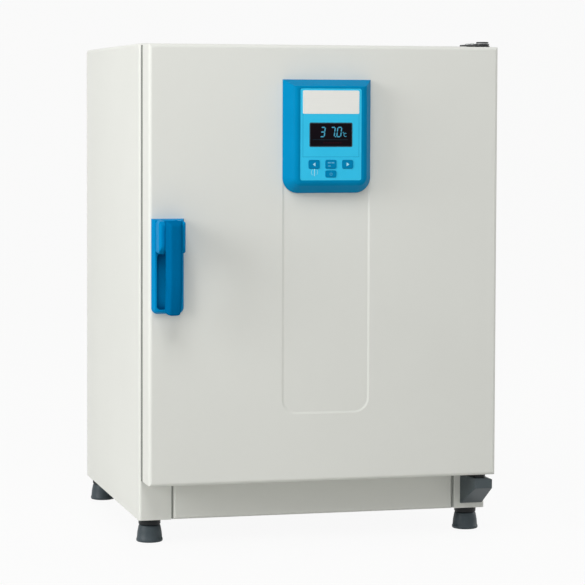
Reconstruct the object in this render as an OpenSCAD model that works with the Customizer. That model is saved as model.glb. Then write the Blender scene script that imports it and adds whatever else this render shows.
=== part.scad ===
// Bench incubator: a sheet metal cabinet on four feet, with a full width door hinged on the right,
// a moulded control housing and a pull lever on the door, and a chamber behind an inner glass door.
// The origin is on the floor under the middle of the object, +Z is up and -Y is the front.

/* [Cabinet] */
// Width of the sheet metal housing
housing_w = 530; // [520:1:680]
// Height of the housing above its feet
housing_h = 694; // [680:1:900]
// Depth of the housing behind its front flanges
housing_d = 450; // [448:1:560]
// Thickness of the outer sheet metal
sheet_t = 1.5; // [1:0.1:2]
// Outside radius of the folded edges
fold_r = 4; // [3:0.5:6]
// Width of the two front posts
post_w = 48; // [44:1:50]
// Depth of the folded returns behind the posts and the lower panel
return_d = 14; // [10:1:14]
// Radius of the posts' lower inner corners
post_corner_r = 5; // [2:1:10]
// Height of the flange above the front frame
head_h = 40; // [34:1:42]
// Height of the lower front panel
lower_panel_h = 61; // [58:1:62]
// Open seam between neighbouring front panels
seam = 2.6; // [1:0.2:3]
// Thickness of the base plate
base_t = 2; // [1.5:0.5:4]
// Width of the flange that the rear panel is screwed to
rear_flange_w = 16; // [14:1:24]

/* [Chamber] */
// Inside width of the chamber
chamber_w = 354; // [280:1:356]
// Inside height of the chamber
chamber_h = 508; // [400:1:510]
// Inside depth of the chamber
chamber_d = 405; // [330:1:405]
// Radius of the chamber's inner corners
chamber_r = 18; // [10:1:24]
// Thickness of the chamber's sheet
liner_t = 1.2; // [0.8:0.1:1.5]
// Height of the chamber floor above the housing's underside
chamber_raise = 101; // [100:1:104]
// Width of the step around the chamber that the glass door lies in
mouth_step = 20; // [18:1:20]
// Depth of that step
mouth_d = 15; // [15:1:18]
// Corner radius of the step
mouth_r = 3; // [2:0.5:4]
// Thickness of the heater mats
heater_t = 1.2; // [0.8:0.1:2]
// Margin of bare sheet around each heater mat
heater_margin = 45; // [30:1:60]
// Thickness of the insulation under the chamber
floor_insulation = 40; // [30:1:42]

/* [Door] */
// Thickness of the door
door_t = 52; // [46:1:64]
// Gap between the door and the housing, filled by the seal
door_gap = 6; // [6:0.5:8]
// How far the door stays inside the housing at each side
door_inset = 3; // [1:0.5:4]
// How far the door stays under the housing's top
door_drop = 2; // [1:0.5:4]
// Height of the door's lower edge above the housing's underside
door_raise = 58; // [53:1:60]
// Radius of the door's front edges
door_r = 5; // [3:0.5:8]
// Thickness of the door's outer sheet
door_sheet = 1.2; // [1:0.1:1.6]
// Thickness of the door's inner panel
door_liner_t = 2; // [1.5:0.1:3]
// Height of the drawn field's lower edge above the door's lower edge
field_raise = 99; // [60:1:140]
// Depth of the drawn field
field_depth = 1; // [0.6:0.1:2]
// Width of the field's sloped edge
field_slope = 3; // [2:0.5:5]
// Radius of the field's lower corners
field_r = 22; // [12:1:30]
// Distance from the mouth's edge to the field drawn in the door's inner panel
liner_field_inset = 34; // [26:1:60]
// Width of the door seal
seal_w = 12; // [10:1:13]
// Radius of the seal's corners
seal_r = 16; // [12:1:24]

/* [Control housing] */
// Width of the control housing and of the drawn field under it
control_w = 132; // [126:1:170]
// Height of the control housing
control_h = 164; // [160:1:220]
// How far the control housing stands out of the door
control_out = 24; // [20:1:30]
// Distance from the door's top to the control housing
control_drop = 49.5; // [30:0.5:60]
// Radius of the control housing's lower corners
control_corner_r = 23; // [20:1:24]
// How far its sides and its underside lean in to the front
control_lean = 13; // [8:1:13]
// How far its top leans in to the front
control_top_lean = 10; // [6:1:11]
// Radius between the leaning sides and the front
control_edge_r = 10; // [4:0.5:10]
// Radius between its leaning top and the front
control_top_r = 4; // [3:0.5:4]
// Wall of the control housing
control_wall = 2.5; // [2:0.1:3]
// Width of the keypad foil
foil_w = 91; // [88:1:100]
// Height of the keypad foil
foil_h = 132; // [126:1:132]
// Distance from the control housing's top to the foil
foil_drop = 13; // [13:0.5:18]
// Thickness of the keypad foil
foil_t = 0.6; // [0.4:0.1:1]
// Width of the bare label plate
label_w = 84; // [60:1:86]
// Height of the bare label plate
label_h = 33.5; // [20:0.5:36]
// Width of the display window
display_w = 64; // [50:1:76]
// Height of the display window
display_h = 35; // [28:1:38]
// Distance from the foil's top to the display window
display_drop = 49; // [46:1:52]

/* [Keys] */
// Width of a key
key_w = 16; // [12:0.5:20]
// Height of a key in the upper row
key_h = 12; // [9:0.2:12]
// Height of the power key
power_key_h = 9.4; // [8:0.2:10]
// Distance between neighbouring keys
key_pitch = 25; // [23:0.5:26]
// Distance from the foil's top to the middle of the upper row
key_row_drop = 109; // [106:0.5:110]
// Distance from the upper row to the power key
key_row_step = 13.8; // [13:0.1:15]
// How far a key stands out of the foil
key_proud = 0.9; // [0.8:0.1:1.5]
// Travel of a key
key_travel = 0.8; // [0.4:0.1:0.8]

/* [Handle] */
// Width of the handle base
handle_w = 47.5; // [44:0.5:60]
// Height of the handle base
handle_h = 136; // [120:1:180]
// Thickness of the handle base
handle_t = 10; // [8:0.5:12]
// Radius of the handle base's lower corners
handle_corner_r = 9; // [7:1:12]
// How far the base's edges lean in to the front
handle_lean = 3.5; // [2:0.5:5]
// Depth of the finger recess in the handle base
recess_depth = 8; // [4:0.5:8]
// How far the lever stands out of the door
handle_out = 60; // [58:1:64]
// Distance from the door's left edge to the handle
handle_inset = 3.5; // [2:0.5:20]
// Height of the handle above the door's lower edge
handle_raise = 249; // [150:1:280]
// Width of the lever
lever_w = 25.2; // [24:0.2:28]
// Width of the lever's neck between the cheeks
lever_neck_w = 20.8; // [18:0.2:22]
// Thickness of the lever's grip
lever_t = 15; // [12:0.5:17]
// How far the lever's edges lean in to the front
lever_lean = 5; // [3:0.5:6]
// How far the lever's lower end curves back to the door
lever_bow = 10; // [4:1:14]
// Length of that curve
lever_bow_len = 56; // [40:1:70]
// Radius of the lever's lower corners
lever_corner_r = 9; // [7:0.5:10]
// Height of the hub that carries the lever
hub_h = 49; // [46:1:60]
// Thickness of each cheek of the hub
cheek_t = 8.4; // [6:0.2:9]
// How far the cheeks stand out of the door
cheek_out = 37; // [36:0.5:38]
// Radius of the cheeks' outer edges
cheek_r = 5; // [3:0.5:6]
// Distance from the handle's top to the lever's pivot
pivot_drop = 25; // [24:1:28]
// Distance from the door to the lever's pivot
pivot_out = 22; // [22:1:25]
// Radius of the lever's head around the pivot
lever_head_r = 11.5; // [10:0.5:11.5]
// Radius of the lever pin
lever_pin_r = 3; // [2.5:0.5:4]
// Pull angle of the lever
lever_angle = 12; // [8:1:12]
// Width of the latch hook
hook_w = 6; // [4:0.5:8]
// Height of the latch hook's arm
hook_h = 10; // [8:1:12]

/* [Hinges] */
// Distance from the housing's side to the hinge axis
hinge_inset = 20; // [18:0.5:20]
// Distance from the housing's front to the hinge axis
hinge_forward = 34; // [32:1:38]
// Radius of the hinge pins
hinge_pin_r = 5; // [4:0.5:6]
// Wall of the bushes in the door
bush_wall = 3; // [2:0.5:3]
// How deep the pins reach into the door
pin_reach = 22; // [16:1:28]
// Thickness of the upper hinge plate
plate_t = 3; // [2:0.5:4]
// Width of the upper hinge plate
plate_w = 21; // [20:0.5:24]
// Thickness of the lower hinge bracket
bracket_t = 4; // [3:0.5:5]
// Width of the lower hinge bracket
bracket_w = 18; // [14:1:18]
// Width of the lower hinge cover on the post
cover_w = 33.5; // [31:0.5:34]
// Width of the cover's front
cover_nose_w = 26.5; // [23:0.5:28]
// How far the cover stands out of the post
cover_out = 50; // [48:1:52]
// Height of the cover's upright front
cover_nose_h = 15; // [12:1:20]
// Distance from the housing's underside to the cover
cover_raise = 8; // [4:1:12]
// Wall of the lower hinge cover
cover_wall = 2.5; // [2:0.1:3]

/* [Feet] */
// Height of the feet
foot_h = 35; // [30:1:45]
// Diameter of a foot on the floor
foot_bottom_d = 39; // [36:0.5:42]
// Diameter of a foot under its collar
foot_top_d = 28; // [26:0.5:31]
// Diameter of the collar
collar_d = 32.5; // [31:0.5:38]
// Height of the collar
collar_h = 10; // [5:0.5:12]
// Diameter of the threaded stud
stud_d = 10; // [8:1:12]
// Distance from the housing's side to a foot's middle
foot_inset_x = 21; // [20:1:40]
// Distance from the housing's front and back to a foot's middle
foot_inset_y = 28; // [28:1:50]

/* [Glass door] */
// Thickness of the glass
glass_t = 5; // [4:0.5:5]
// Distance from the housing's front to the glass
glass_depth = 5; // [5:0.5:6]
// Gap between the glass and the mouth around it
glass_margin = 7; // [6:0.5:8]
// Radius of the glass hinge pins
glass_pin_r = 2.5; // [2:0.25:2.5]
// Height of the clamps that hold the glass
clamp_h = 32; // [24:1:50]
// Length of the clamps across the glass
clamp_w = 36; // [28:1:60]

/* [Shelves] */
// Distance from the chamber's front edge to a shelf
shelf_front_gap = 31; // [28:1:60]
// Distance from the chamber's back wall to a shelf
shelf_rear_gap = 14; // [10:1:20]
// How far a shelf slides with the glass door closed
shelf_travel = 20; // [10:1:24]
// Radius of a shelf's rim rod
rim_r = 3; // [2.5:0.5:4]
// Radius of a shelf's thin wires
wire_r = 1.3; // [1:0.1:1.6]
// Number of thin wires in a shelf
wire_n = 19; // [9:2:25]
// Depth of the slotted uprights
upright_d = 8; // [6:1:10]
// Width of the slotted uprights
upright_w = 22; // [18:1:28]
// Distance between the slots of an upright
slot_pitch = 32; // [28:1:40]
// Distance from the chamber's floor to the uprights
upright_floor_gap = 26; // [20:1:40]
// Distance from the uprights to the chamber's ceiling
upright_top_gap = 62; // [20:1:80]
// Slot that carries the lower shelf
lower_slot = 3; // [1:1:4]
// Slot that carries the upper shelf
upper_slot = 8; // [6:1:9]

/* [Rear] */
// How far the data socket stands out of the rear panel
socket_out = 6; // [5:0.5:8]
// Width of the mains inlet's cavity
inlet_w = 24.5; // [24:0.1:26]
// Height of the mains inlet's cavity
inlet_h = 17; // [16.5:0.1:19]
// Number of ventilation slots
vent_n = 16; // [6:1:20]

/* [Fits] */
// Radial clearance of a pin that turns
run_fit = 0.05; // [0.02:0.01:0.1]
// Gap between pieces that move past each other
clear = 0.3; // [0.3:0.05:0.4]

/* [Hidden] */
$fn = 64;

// Colours of the finishes
white_paint = "#DEDFDB";
housing_blue = "#0078B0";
foil_blue = "#2BB0E0";
key_blue = "#0C7DAF";
slate_plastic = "#3C4449";
black_plastic = "#1B1D20";
steel = "#B9BCBE";
foam = "#D9CFA6";
board_green = "#2E6B3A";
rubber = "#8D9296";

// Cabinet levels and faces, with y counted back from the housing's front
half_w = housing_w / 2;
top_z = foot_h + housing_h;
frame_half = half_w - post_w - seam;
frame_z0 = foot_h + lower_panel_h + seam;
frame_z1 = top_z - head_h - seam;
rear_face = housing_d - sheet_t;
flange_back = rear_face - sheet_t;
screw_len = 4;
screw_head_r = 4.4;
screw_head_h = 2.4;
nut_r = stud_d / 2 + 5;
nut_h = 9;

// Chamber and the stepped mouth in front of it
chamber_half = chamber_w / 2;
chamber_z0 = foot_h + chamber_raise;
chamber_z1 = chamber_z0 + chamber_h;
chamber_back = mouth_d + chamber_d;
mouth_half = chamber_half + mouth_step;
mouth_z0 = chamber_z0 - mouth_step;
mouth_z1 = chamber_z1 + mouth_step;
sensor_at = [chamber_half / 3, chamber_z1 - 50];
sensor_r = 3;
sensor_len = 60;
sensor_collar_r = 8;
sensor_collar_t = 3;
sensor_tail = 10;
supply_board = [150, 110, 1.6];
supply_at = [-60, 300];
supply_leg_r = 3;
supply_leg_h = 6;
supply_leg_inset = 8;
transformer = [54, 46, 40];
transformer_gap = 20;

// Door faces
door_half = half_w - door_inset;
door_z0 = foot_h + door_raise;
door_z1 = top_z - door_drop;
door_back = -door_gap;
door_face = -door_gap - door_t;
skin_back = door_back - door_liner_t;
cable_hole_r = 12;
field_margin = 2;
liner_field_r = 24;

// Hinge axis
hinge_x = half_w - hinge_inset;
hinge_y = -hinge_forward;
bush_r = hinge_pin_r + run_fit + bush_wall;
bush_flange_r = bush_r + 3;
bush_flange_t = 1.6;
block_wall = 5;
block_half = bush_r + block_wall;
pin_head_r = hinge_pin_r + 4;
pin_head_h = 2.8;
plate_side = 9.5;
plate_nose = 11;
plate_back = 40;
plate_corner_r = [10, 9, 4, 4];
lower_leg_z = door_z0 - bush_flange_t - clear;
bracket_screw_z = [lower_leg_z - 32, lower_leg_z - 16];
cover_right = hinge_x + 15;
cover_z0 = foot_h + cover_raise;
bracket_foot_z = cover_z0 + cover_wall + 1.5;
cover_z1 = lower_leg_z - bracket_t - clear;
cover_chamfer = [7, 2];
cover_foot = 3;

// Control housing
control_z1 = door_z1 - control_drop;
control_z0 = control_z1 - control_h;
control_face = door_face - control_out;
foil_z1 = control_z1 - foil_drop;
key_row_z = foil_z1 - key_row_drop;
power_row_z = key_row_z - key_row_step;
display_z1 = foil_z1 - display_drop;
key_ledge = 1;
board_t = 1.6;
board_face = door_face - 8;
board_half = foil_w / 2 + 6;
panel_back = control_face + control_wall;
board_boss_r = 3.5;
board_inset = 4;
label_t = 0.4;
label_drop = 2.8;
key_foot = 3;
key_foot_w = 5;
switch_w = 6;
switch_gap = 0.2;

// Handle and latch
handle_x = -door_half + handle_inset + handle_w / 2;
handle_z0 = door_z0 + handle_raise;
handle_z1 = handle_z0 + handle_h;
pivot_y = door_face - pivot_out;
pivot_z = handle_z1 - pivot_drop;
hook_tip = return_d - 1;
hook_nose = 5;
hook_swing = (hook_tip - pivot_y) * sin(lever_angle);
latch_slot_w = hook_w + 6;
hook_slot_z0 = pivot_z - hook_h / 2 - hook_swing - 1;
hook_slot_z1 = pivot_z + hook_h / 2 + 3;
keeper_w = 28;
keeper_h = 31;
keeper_t = 2;
keeper_ear_x = 8;
roller_r = 4;
roller_pin_r = 1.5;
cheek_gap = 0.7;
cheek_inner = lever_neck_w / 2 + cheek_gap;
cheek_outer = cheek_inner + cheek_t;
cheek_front = door_face - cheek_out;
cheek_low_r = 12;
cheek_top_r = 8;
lever_end_gap = 1;
bend_spare = 4;
recess_rim = 6.5;
recess_r = 5;
recess_slope = 1;
moulded_edge_r = 2;

// Glass door
glass_left = -mouth_half + glass_margin;
glass_axis = [mouth_half - 6.5, 3];
glass_knuckle_r = 5;
glass_right = glass_axis[0] - 4.5;
glass_back = glass_depth + glass_t;
bracket_h = 4;
glass_z0 = mouth_z0 + bracket_h + 2;
glass_z1 = mouth_z1 - bracket_h - 2;
pull_h = 44;
pull_w = 20;
pull_out = 8;
pull_groove_r = 6;
glass_seal_w = 6;
glass_seal_out = 4;
glass_pin_reach = 12;
catch_w = 3.6;
clamp_front = 1.5;

// Shelves and their uprights
upright_t = 1.2;
upright_face = chamber_half - upright_d;
upright_y = [mouth_d + 70, chamber_back - 70];
upright_z0 = chamber_z0 + upright_floor_gap;
upright_len = chamber_h - upright_floor_gap - upright_top_gap;
slot_first = 18;
slot_n = floor((upright_len - 2 * slot_first) / slot_pitch) + 1;
slot_h = 4;
slot_w = 12;
support_face = upright_face - 0.4;
support_t = 1.5;
ledge_w = 16;
support_rise = 14;
shelf_half = support_face - support_t - 1 - rim_r;
shelf_y1 = chamber_back - shelf_rear_gap;
shelf_y0 = mouth_d + shelf_front_gap;
shelf_d = shelf_y1 - shelf_y0;
shelf_corner_r = 14;
cross_r = 2.2;
cross_end = 3;
weld = 0.5;
tab_w = 8;
tab_h = 2.5;
tab_reach = 3;
support_end = 6;

// Feet and rear fittings
foot_x = half_w - foot_inset_x;
stud_r = stud_d / 2;
rear_row_z = foot_h + 30;
inlet_at = [-half_w + 90, rear_row_z];
socket_at = [-half_w + 150, rear_row_z];
vent_x0 = -half_w + 200;
vent_pitch = 12;
vent_w = 4;
vent_h = 34;
inlet_wall = 2;
inlet_rim = 3;
inlet_rim_w = 3.5;
inlet_depth = 17;
inlet_chamfer = 4;
inlet_pin = [2, 14, 4];
inlet_pin_places = [[-7, -2], [0, 2], [7, -2]];
socket_w = 31;
socket_h = 13;
socket_flange = 1;
socket_shell = [18, 9];
socket_wall = 0.8;
foot_edge_r = 2;
foot_band = 4;
collar_edge_r = 2;
rear_screw_r = 2;
hinge_screw_r = 2.2;
plate_screws = [[-1, 10], [-1, 30]];

// The object's depth is centred on the origin
depth_all = handle_out + door_t + door_gap + housing_d + socket_out;
front_y = handle_out + door_t + door_gap - depth_all / 2;

module at_front() { translate([0, front_y, 0]) children(); }

module both_sides() {
  children();
  mirror([1, 0, 0]) children();
}

// Extrusions of a flat outline along one axis of the object
module along_x(x0, x1) { translate([x0, 0, 0]) rotate([90, 0, 90]) linear_extrude(x1 - x0) children(); }
module along_y(y0, y1) { translate([0, y1, 0]) rotate([90, 0, 0]) linear_extrude(y1 - y0) children(); }
module along_z(z0, z1) { translate([0, 0, z0]) linear_extrude(z1 - z0) children(); }

module block(a, b) { translate(a) cube(b - a); }

// What is cut from a square corner to leave it round
module corner_cut(r) {
  difference() {
    translate([-1, -1]) square(r + 1);
    translate([r, r]) circle(r);
  }
}

// Rectangle with its own radius at each corner, counted from the lower left one
module rounded(x0, y0, x1, y1, r) {
  corners = [[x0, y0], [x1, y0], [x1, y1], [x0, y1]];
  difference() {
    translate([x0, y0]) square([x1 - x0, y1 - y0]);
    for (i = [0:3]) if (r[i] > 0) translate(corners[i]) rotate(90 * i) corner_cut(r[i]);
  }
}

module evenly(x0, y0, x1, y1, r) { rounded(x0, y0, x1, y1, [r, r, r, r]); }

// Sweep of a flat profile around an upright rectangle: its x points outwards and its y points back
module ring_sweep(x0, z0, x1, z1, r) {
  starts = [[x1, z0 + r], [x0 + r, z0], [x0, z1 - r], [x1 - r, z1]];
  centres = [[x1 - r, z0 + r], [x0 + r, z0 + r], [x0 + r, z1 - r], [x1 - r, z1 - r]];
  lengths = [z1 - z0 - 2 * r, x1 - x0 - 2 * r, z1 - z0 - 2 * r, x1 - x0 - 2 * r];
  for (i = [0:3]) {
    translate([starts[i][0], 0, starts[i][1]]) rotate([0, 90 * i, 0])
      linear_extrude(lengths[i]) children();
    translate([centres[i][0], 0, centres[i][1]]) rotate([0, 90 * i, 0]) rotate([-90, 0, 0])
      rotate_extrude(angle = 90) translate([r, 0]) children();
  }
}

// Half of a moulding's section: its side leans in towards the front, and the edge between them is round.
// The round's circle stands a little proud of both lines, so that it crosses them cleanly.
module leaning_edge(w, out, lean, r, under) {
  run = norm([lean, out]);
  depth = 0.98 * r;
  corner = [w - lean, out];
  centre = corner - [depth / tan(acos(-lean / run) / 2), depth];
  difference() {
    polygon([[0, -under], [w, -under], [w, 0], corner, [0, out]]);
    difference() {
      polygon([centre, centre + [0, 2 * r], 2 * corner - centre, centre + [out, lean] * 2 * r / run]);
      translate(centre) circle(r);
    }
  }
}

// Level section of a moulding, with both sides leaning in to the front
module leaning_section(w, out, lean, r, under) {
  intersection() {
    translate([-w / 2, 0]) mirror([0, 1]) leaning_edge(w, out, lean, r, under);
    translate([w / 2, 0]) rotate(180) leaning_edge(w, out, lean, r, under);
  }
}

// Moulding that stands out to the front, with round lower corners, leaning edges and mitred upper corners
module moulding(w, h, out, corner_r, lean, top_lean, edge_r, top_r, under = 0) {
  half = w / 2;
  intersection() {
    union() {
      along_z(corner_r, h) leaning_section(w, out, lean, edge_r, under);
      along_x(corner_r - half, half - corner_r) translate([0, corner_r]) mirror([1, 1])
        leaning_edge(corner_r, out, lean, edge_r, under);
      for (i = [1, 2])
        translate([(half - corner_r) * (i == 1 ? 1 : -1), 0, corner_r]) rotate([0, 90 * i, 0])
          rotate([90, 0, 0]) rotate_extrude(angle = 90) leaning_edge(corner_r, out, lean, edge_r, under);
    }
    along_x(-half, half) rotate(90) leaning_edge(h, out, top_lean, top_r, under);
  }
}

// Shallow pocket that goes back from y = 0, with sloped sides and round corners, open over its mouth
module pocket(x0, z0, x1, z1, r, depth, slope) {
  along_z(z0 + r, z1 - r) polygon([[x0, 0], [x1, 0], [x1 - slope, depth], [x0 + slope, depth]]);
  along_x(x0 + r, x1 - r) polygon([[0, z0], [depth, z0 + slope], [depth, z1 - slope], [0, z1]]);
  for (x = [x0 + r, x1 - r], z = [z0 + r, z1 - r])
    translate([x, 0, z]) rotate([-90, 0, 0]) cylinder(r1 = r, r2 = r - slope, h = depth);
  along_y(-1, 0) evenly(x0, z0, x1, z1, r);
}

// Cabinet pieces

module housing_form(inset) {
  over = inset > 0 ? 1 : 0;
  x = half_w - inset;
  y1 = housing_d + over;
  z0 = foot_h - over;
  z1 = top_z - inset;
  r = fold_r - inset;
  intersection() {
    along_z(z0, z1) rounded(-x, inset, x, y1, [r, r, 0, 0]);
    along_y(inset, y1) rounded(-x, z0, x, z1, [0, 0, r, r]);
    along_x(-x, x) rounded(inset, z0, y1, z1, [0, 0, 0, r]);
  }
}

module post() {
  x0 = -half_w;
  x1 = -half_w + post_w;
  t = sheet_t;
  difference() {
    along_z(foot_h, top_z - head_h) difference() {
      rounded(x0, 0, x1, return_d, [fold_r, fold_r, 0, 0]);
      rounded(x0 + t, t, x1 - t, return_d + 1, [fold_r - t, fold_r - t, 0, 0]);
    }
    along_y(-1, return_d + 1) translate([x1, foot_h]) rotate(90) corner_cut(post_corner_r);
  }
}

module latch_slot(y0, y1, z0, z1) {
  block([handle_x - latch_slot_w / 2, y0, z0], [handle_x + latch_slot_w / 2, y1, z1]);
}

module plate_screw_places() {
  for (p = plate_screws) translate([hinge_x + p[0], p[1], 0]) children();
}

function rear_screw_places() = let(
  x = half_w - sheet_t - rear_flange_w / 2,
  z0 = foot_h + 12,
  z1 = top_z - sheet_t - rear_flange_w / 2
) concat(
  [for (s = [-1, 1], k = [0:3]) [s * x, z0 + (z1 - z0) * k / 3]],
  [for (k = [-1, 0, 1]) [k * x / 2, z1]]
);

module outer_housing() {
  t = sheet_t;
  color(white_paint) at_front() difference() {
    union() {
      difference() {
        housing_form(0);
        housing_form(t);
        block([post_w - half_w, -1, foot_h - 1], [half_w - post_w, t + 1, top_z - head_h]);
      }
      both_sides() post();
      along_y(flange_back, rear_face) difference() {
        rounded(-half_w + t / 2, foot_h, half_w - t / 2, top_z - t / 2, [0, 0, fold_r, fold_r]);
        translate([-half_w + t + rear_flange_w, foot_h - 1])
          square([housing_w - 2 * (t + rear_flange_w), housing_h - t - rear_flange_w + 1]);
      }
    }
    latch_slot(-1, t + 1, pivot_z - hook_h / 2 - hook_swing - 2, pivot_z + hook_h / 2 + hook_nose + 2);
    plate_screw_places() translate([0, 0, top_z - t - 1]) cylinder(r = hinge_screw_r + run_fit, h = t + 2);
    for (p = rear_screw_places())
      translate([p[0], rear_face + 1, p[1]]) rotate([90, 0, 0])
        cylinder(r = rear_screw_r + run_fit, h = t + 2);
  }
}

module inlet_outline(w, h, chamfer) {
  polygon([
    [-w / 2, -h / 2], [w / 2, -h / 2], [w / 2, h / 2 - chamfer], [w / 2 - chamfer, h / 2],
    [-w / 2 + chamfer, h / 2], [-w / 2, h / 2 - chamfer]
  ]);
}

module rear_panel() {
  x = half_w - sheet_t - clear;
  color(white_paint) at_front() along_y(rear_face, housing_d) difference() {
    rounded(-x, foot_h + clear, x, top_z - sheet_t - clear, [0, 0, fold_r, fold_r]);
    for (p = rear_screw_places()) translate(p) circle(rear_screw_r + run_fit);
    translate(inlet_at)
      square([inlet_w + 2 * (inlet_wall + clear), inlet_h + 2 * (inlet_wall + clear)], true);
    translate(socket_at) square([socket_w - 1, socket_h - 1], true);
    for (k = [0:vent_n - 1]) translate([vent_x0 + k * vent_pitch, rear_row_z]) vent_slot();
  }
}

module vent_slot() { evenly(-vent_w / 2, -vent_h / 2, vent_w / 2, vent_h / 2, vent_w / 2 - 0.1); }

module foot_places() {
  for (x = [-foot_x, foot_x], y = [foot_inset_y, housing_d - foot_inset_y]) translate([x, y, 0]) children();
}

module base_plate() {
  x = half_w - sheet_t - clear;
  color(white_paint) at_front() difference() {
    union() {
      block([-x, return_d + clear, foot_h], [x, flange_back - clear, foot_h + base_t]);
      foot_places() translate([0, 0, foot_h]) cylinder(r = nut_r, h = base_t + nut_h);
    }
    foot_places() translate([0, 0, foot_h - 1]) cylinder(r = stud_r + run_fit, h = base_t + nut_h + 2);
  }
}

module lower_panel_form(inset) {
  over = inset > 0 ? 1 : 0;
  x = half_w - post_w - seam - inset;
  r = fold_r - inset;
  z0 = foot_h + inset;
  z1 = foot_h + lower_panel_h + over;
  intersection() {
    along_z(z0, z1) rounded(-x, inset, x, return_d + over, [r, r, 0, 0]);
    along_x(-x, x) rounded(inset, z0, return_d + over, z1, [r, 0, 0, 0]);
  }
}

module lower_front_panel() {
  color(white_paint) at_front() difference() {
    lower_panel_form(0);
    lower_panel_form(sheet_t);
  }
}

module mouth(grow) {
  evenly(-mouth_half - grow, mouth_z0 - grow, mouth_half + grow, mouth_z1 + grow, mouth_r + grow);
}

module front_frame() {
  color(white_paint) at_front() {
    along_y(0, sheet_t) difference() {
      evenly(-frame_half, frame_z0, frame_half, frame_z1, post_corner_r);
      mouth(0);
    }
    along_y(sheet_t / 2, mouth_d) difference() {
      mouth(sheet_t);
      mouth(0);
    }
  }
}

// The chamber's inside, or its outside when grown by the sheet
module chamber_form(grow, y0) {
  x = chamber_half + grow;
  y1 = chamber_back + grow;
  z0 = chamber_z0 - grow;
  z1 = chamber_z1 + grow;
  r = chamber_r + grow;
  intersection() {
    along_y(y0, y1) evenly(-x, z0, x, z1, r);
    along_z(z0, z1) rounded(-x, y0, x, y1, [0, 0, r, r]);
    along_x(-x, x) rounded(y0, z0, y1, z1, [0, r, r, 0]);
  }
}

module sensor_hole(r) {
  translate([sensor_at[0], chamber_back - 1, sensor_at[1]]) rotate([-90, 0, 0])
    cylinder(r = r, h = housing_d);
}

module inner_chamber() {
  color(steel) at_front() difference() {
    union() {
      along_y(mouth_d, mouth_d + liner_t) mouth(sheet_t);
      chamber_form(liner_t, mouth_d);
    }
    chamber_form(0, mouth_d - 1);
    sensor_hole(sensor_r + run_fit);
  }
}

module insulation() {
  x = half_w - sheet_t - clear;
  front = mouth_d + liner_t + clear;
  gap = liner_t + heater_t + clear;
  r = fold_r - sheet_t;
  color(foam) at_front() difference() {
    along_y(front, flange_back - screw_len - 1)
      rounded(-x, chamber_z0 - floor_insulation, x, top_z - sheet_t - clear, [0, 0, r, r]);
    chamber_form(gap, front - 1);
    sensor_hole(sensor_r + clear);
    plate_screw_places() translate([0, 0, top_z - sheet_t - screw_len - 1])
      cylinder(r = hinge_screw_r + 1, h = screw_len + 2);
  }
}

module heater_mats() {
  y0 = mouth_d + heater_margin;
  y1 = chamber_back - heater_margin;
  z0 = chamber_z0 + heater_margin;
  z1 = chamber_z1 - heater_margin;
  side = chamber_half + liner_t;
  flat = chamber_half - heater_margin;
  color("#B5651D") at_front() {
    both_sides() block([side, y0, z0], [side + heater_t, y1, z1]);
    block([-flat, y0, chamber_z0 - liner_t - heater_t], [flat, y1, chamber_z0 - liner_t]);
    block([-flat, y0, chamber_z1 + liner_t], [flat, y1, chamber_z1 + liner_t + heater_t]);
  }
}

module power_supply() {
  i = supply_leg_inset;
  color(board_green) at_front() translate([supply_at[0], supply_at[1], foot_h + base_t]) {
    translate([0, 0, supply_leg_h]) cube(supply_board);
    for (x = [i, supply_board[0] - i], y = [i, supply_board[1] - i])
      translate([x, y, 0]) cylinder(r = supply_leg_r, h = supply_leg_h);
    translate([-transformer[0] - transformer_gap, 0, 0]) cube(transformer);
  }
}

module temperature_sensor() {
  tail = liner_t + sensor_tail;
  color(steel) at_front() translate([sensor_at[0], chamber_back, sensor_at[1]]) rotate([90, 0, 0]) {
    translate([0, 0, -tail]) cylinder(r = sensor_r, h = sensor_len + tail - sensor_r);
    translate([0, 0, sensor_len - sensor_r]) sphere(sensor_r);
    cylinder(r = sensor_collar_r, h = sensor_collar_t);
  }
}

function slot_z(k) = upright_z0 + slot_first + k * slot_pitch;

module upright(y) {
  t = upright_t;
  y0 = y - upright_w / 2;
  y1 = y + upright_w / 2;
  difference() {
    along_z(upright_z0, upright_z0 + upright_len) difference() {
      rounded(upright_face, y0, chamber_half, y1, [2, 0, 0, 2]);
      translate([upright_face + t, y0 + t]) square([upright_d, upright_w - 2 * t]);
    }
    for (k = [0:slot_n - 1]) translate([upright_face - 1, y - slot_w / 2, slot_z(k)])
      cube([t + 2, slot_w, slot_h]);
  }
}

module shelf_uprights() {
  color(steel) at_front() both_sides() for (y = upright_y) upright(y);
}

// A shelf's rim lies on the ledges of its two supports
function ledge_z(k) = slot_z(k) + 1;
function shelf_z(k) = ledge_z(k) + clear + rim_r;

module shelf_support(k) {
  z = ledge_z(k);
  y0 = shelf_y0 + support_end;
  y1 = shelf_y1 - support_end;
  tab_x = [support_face - support_t / 2, upright_face + upright_t + tab_reach];
  block([support_face - ledge_w, y0, z - support_t], [support_face, y1, z]);
  block([support_face - support_t, y0, z - support_t], [support_face, y1, z + support_rise]);
  for (y = upright_y) block([tab_x[0], y - tab_w / 2, z], [tab_x[1], y + tab_w / 2, z + tab_h]);
}

module lower_shelf_supports() { color(steel) at_front() both_sides() shelf_support(lower_slot); }
module upper_shelf_supports() { color(steel) at_front() both_sides() shelf_support(upper_slot); }

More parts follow.
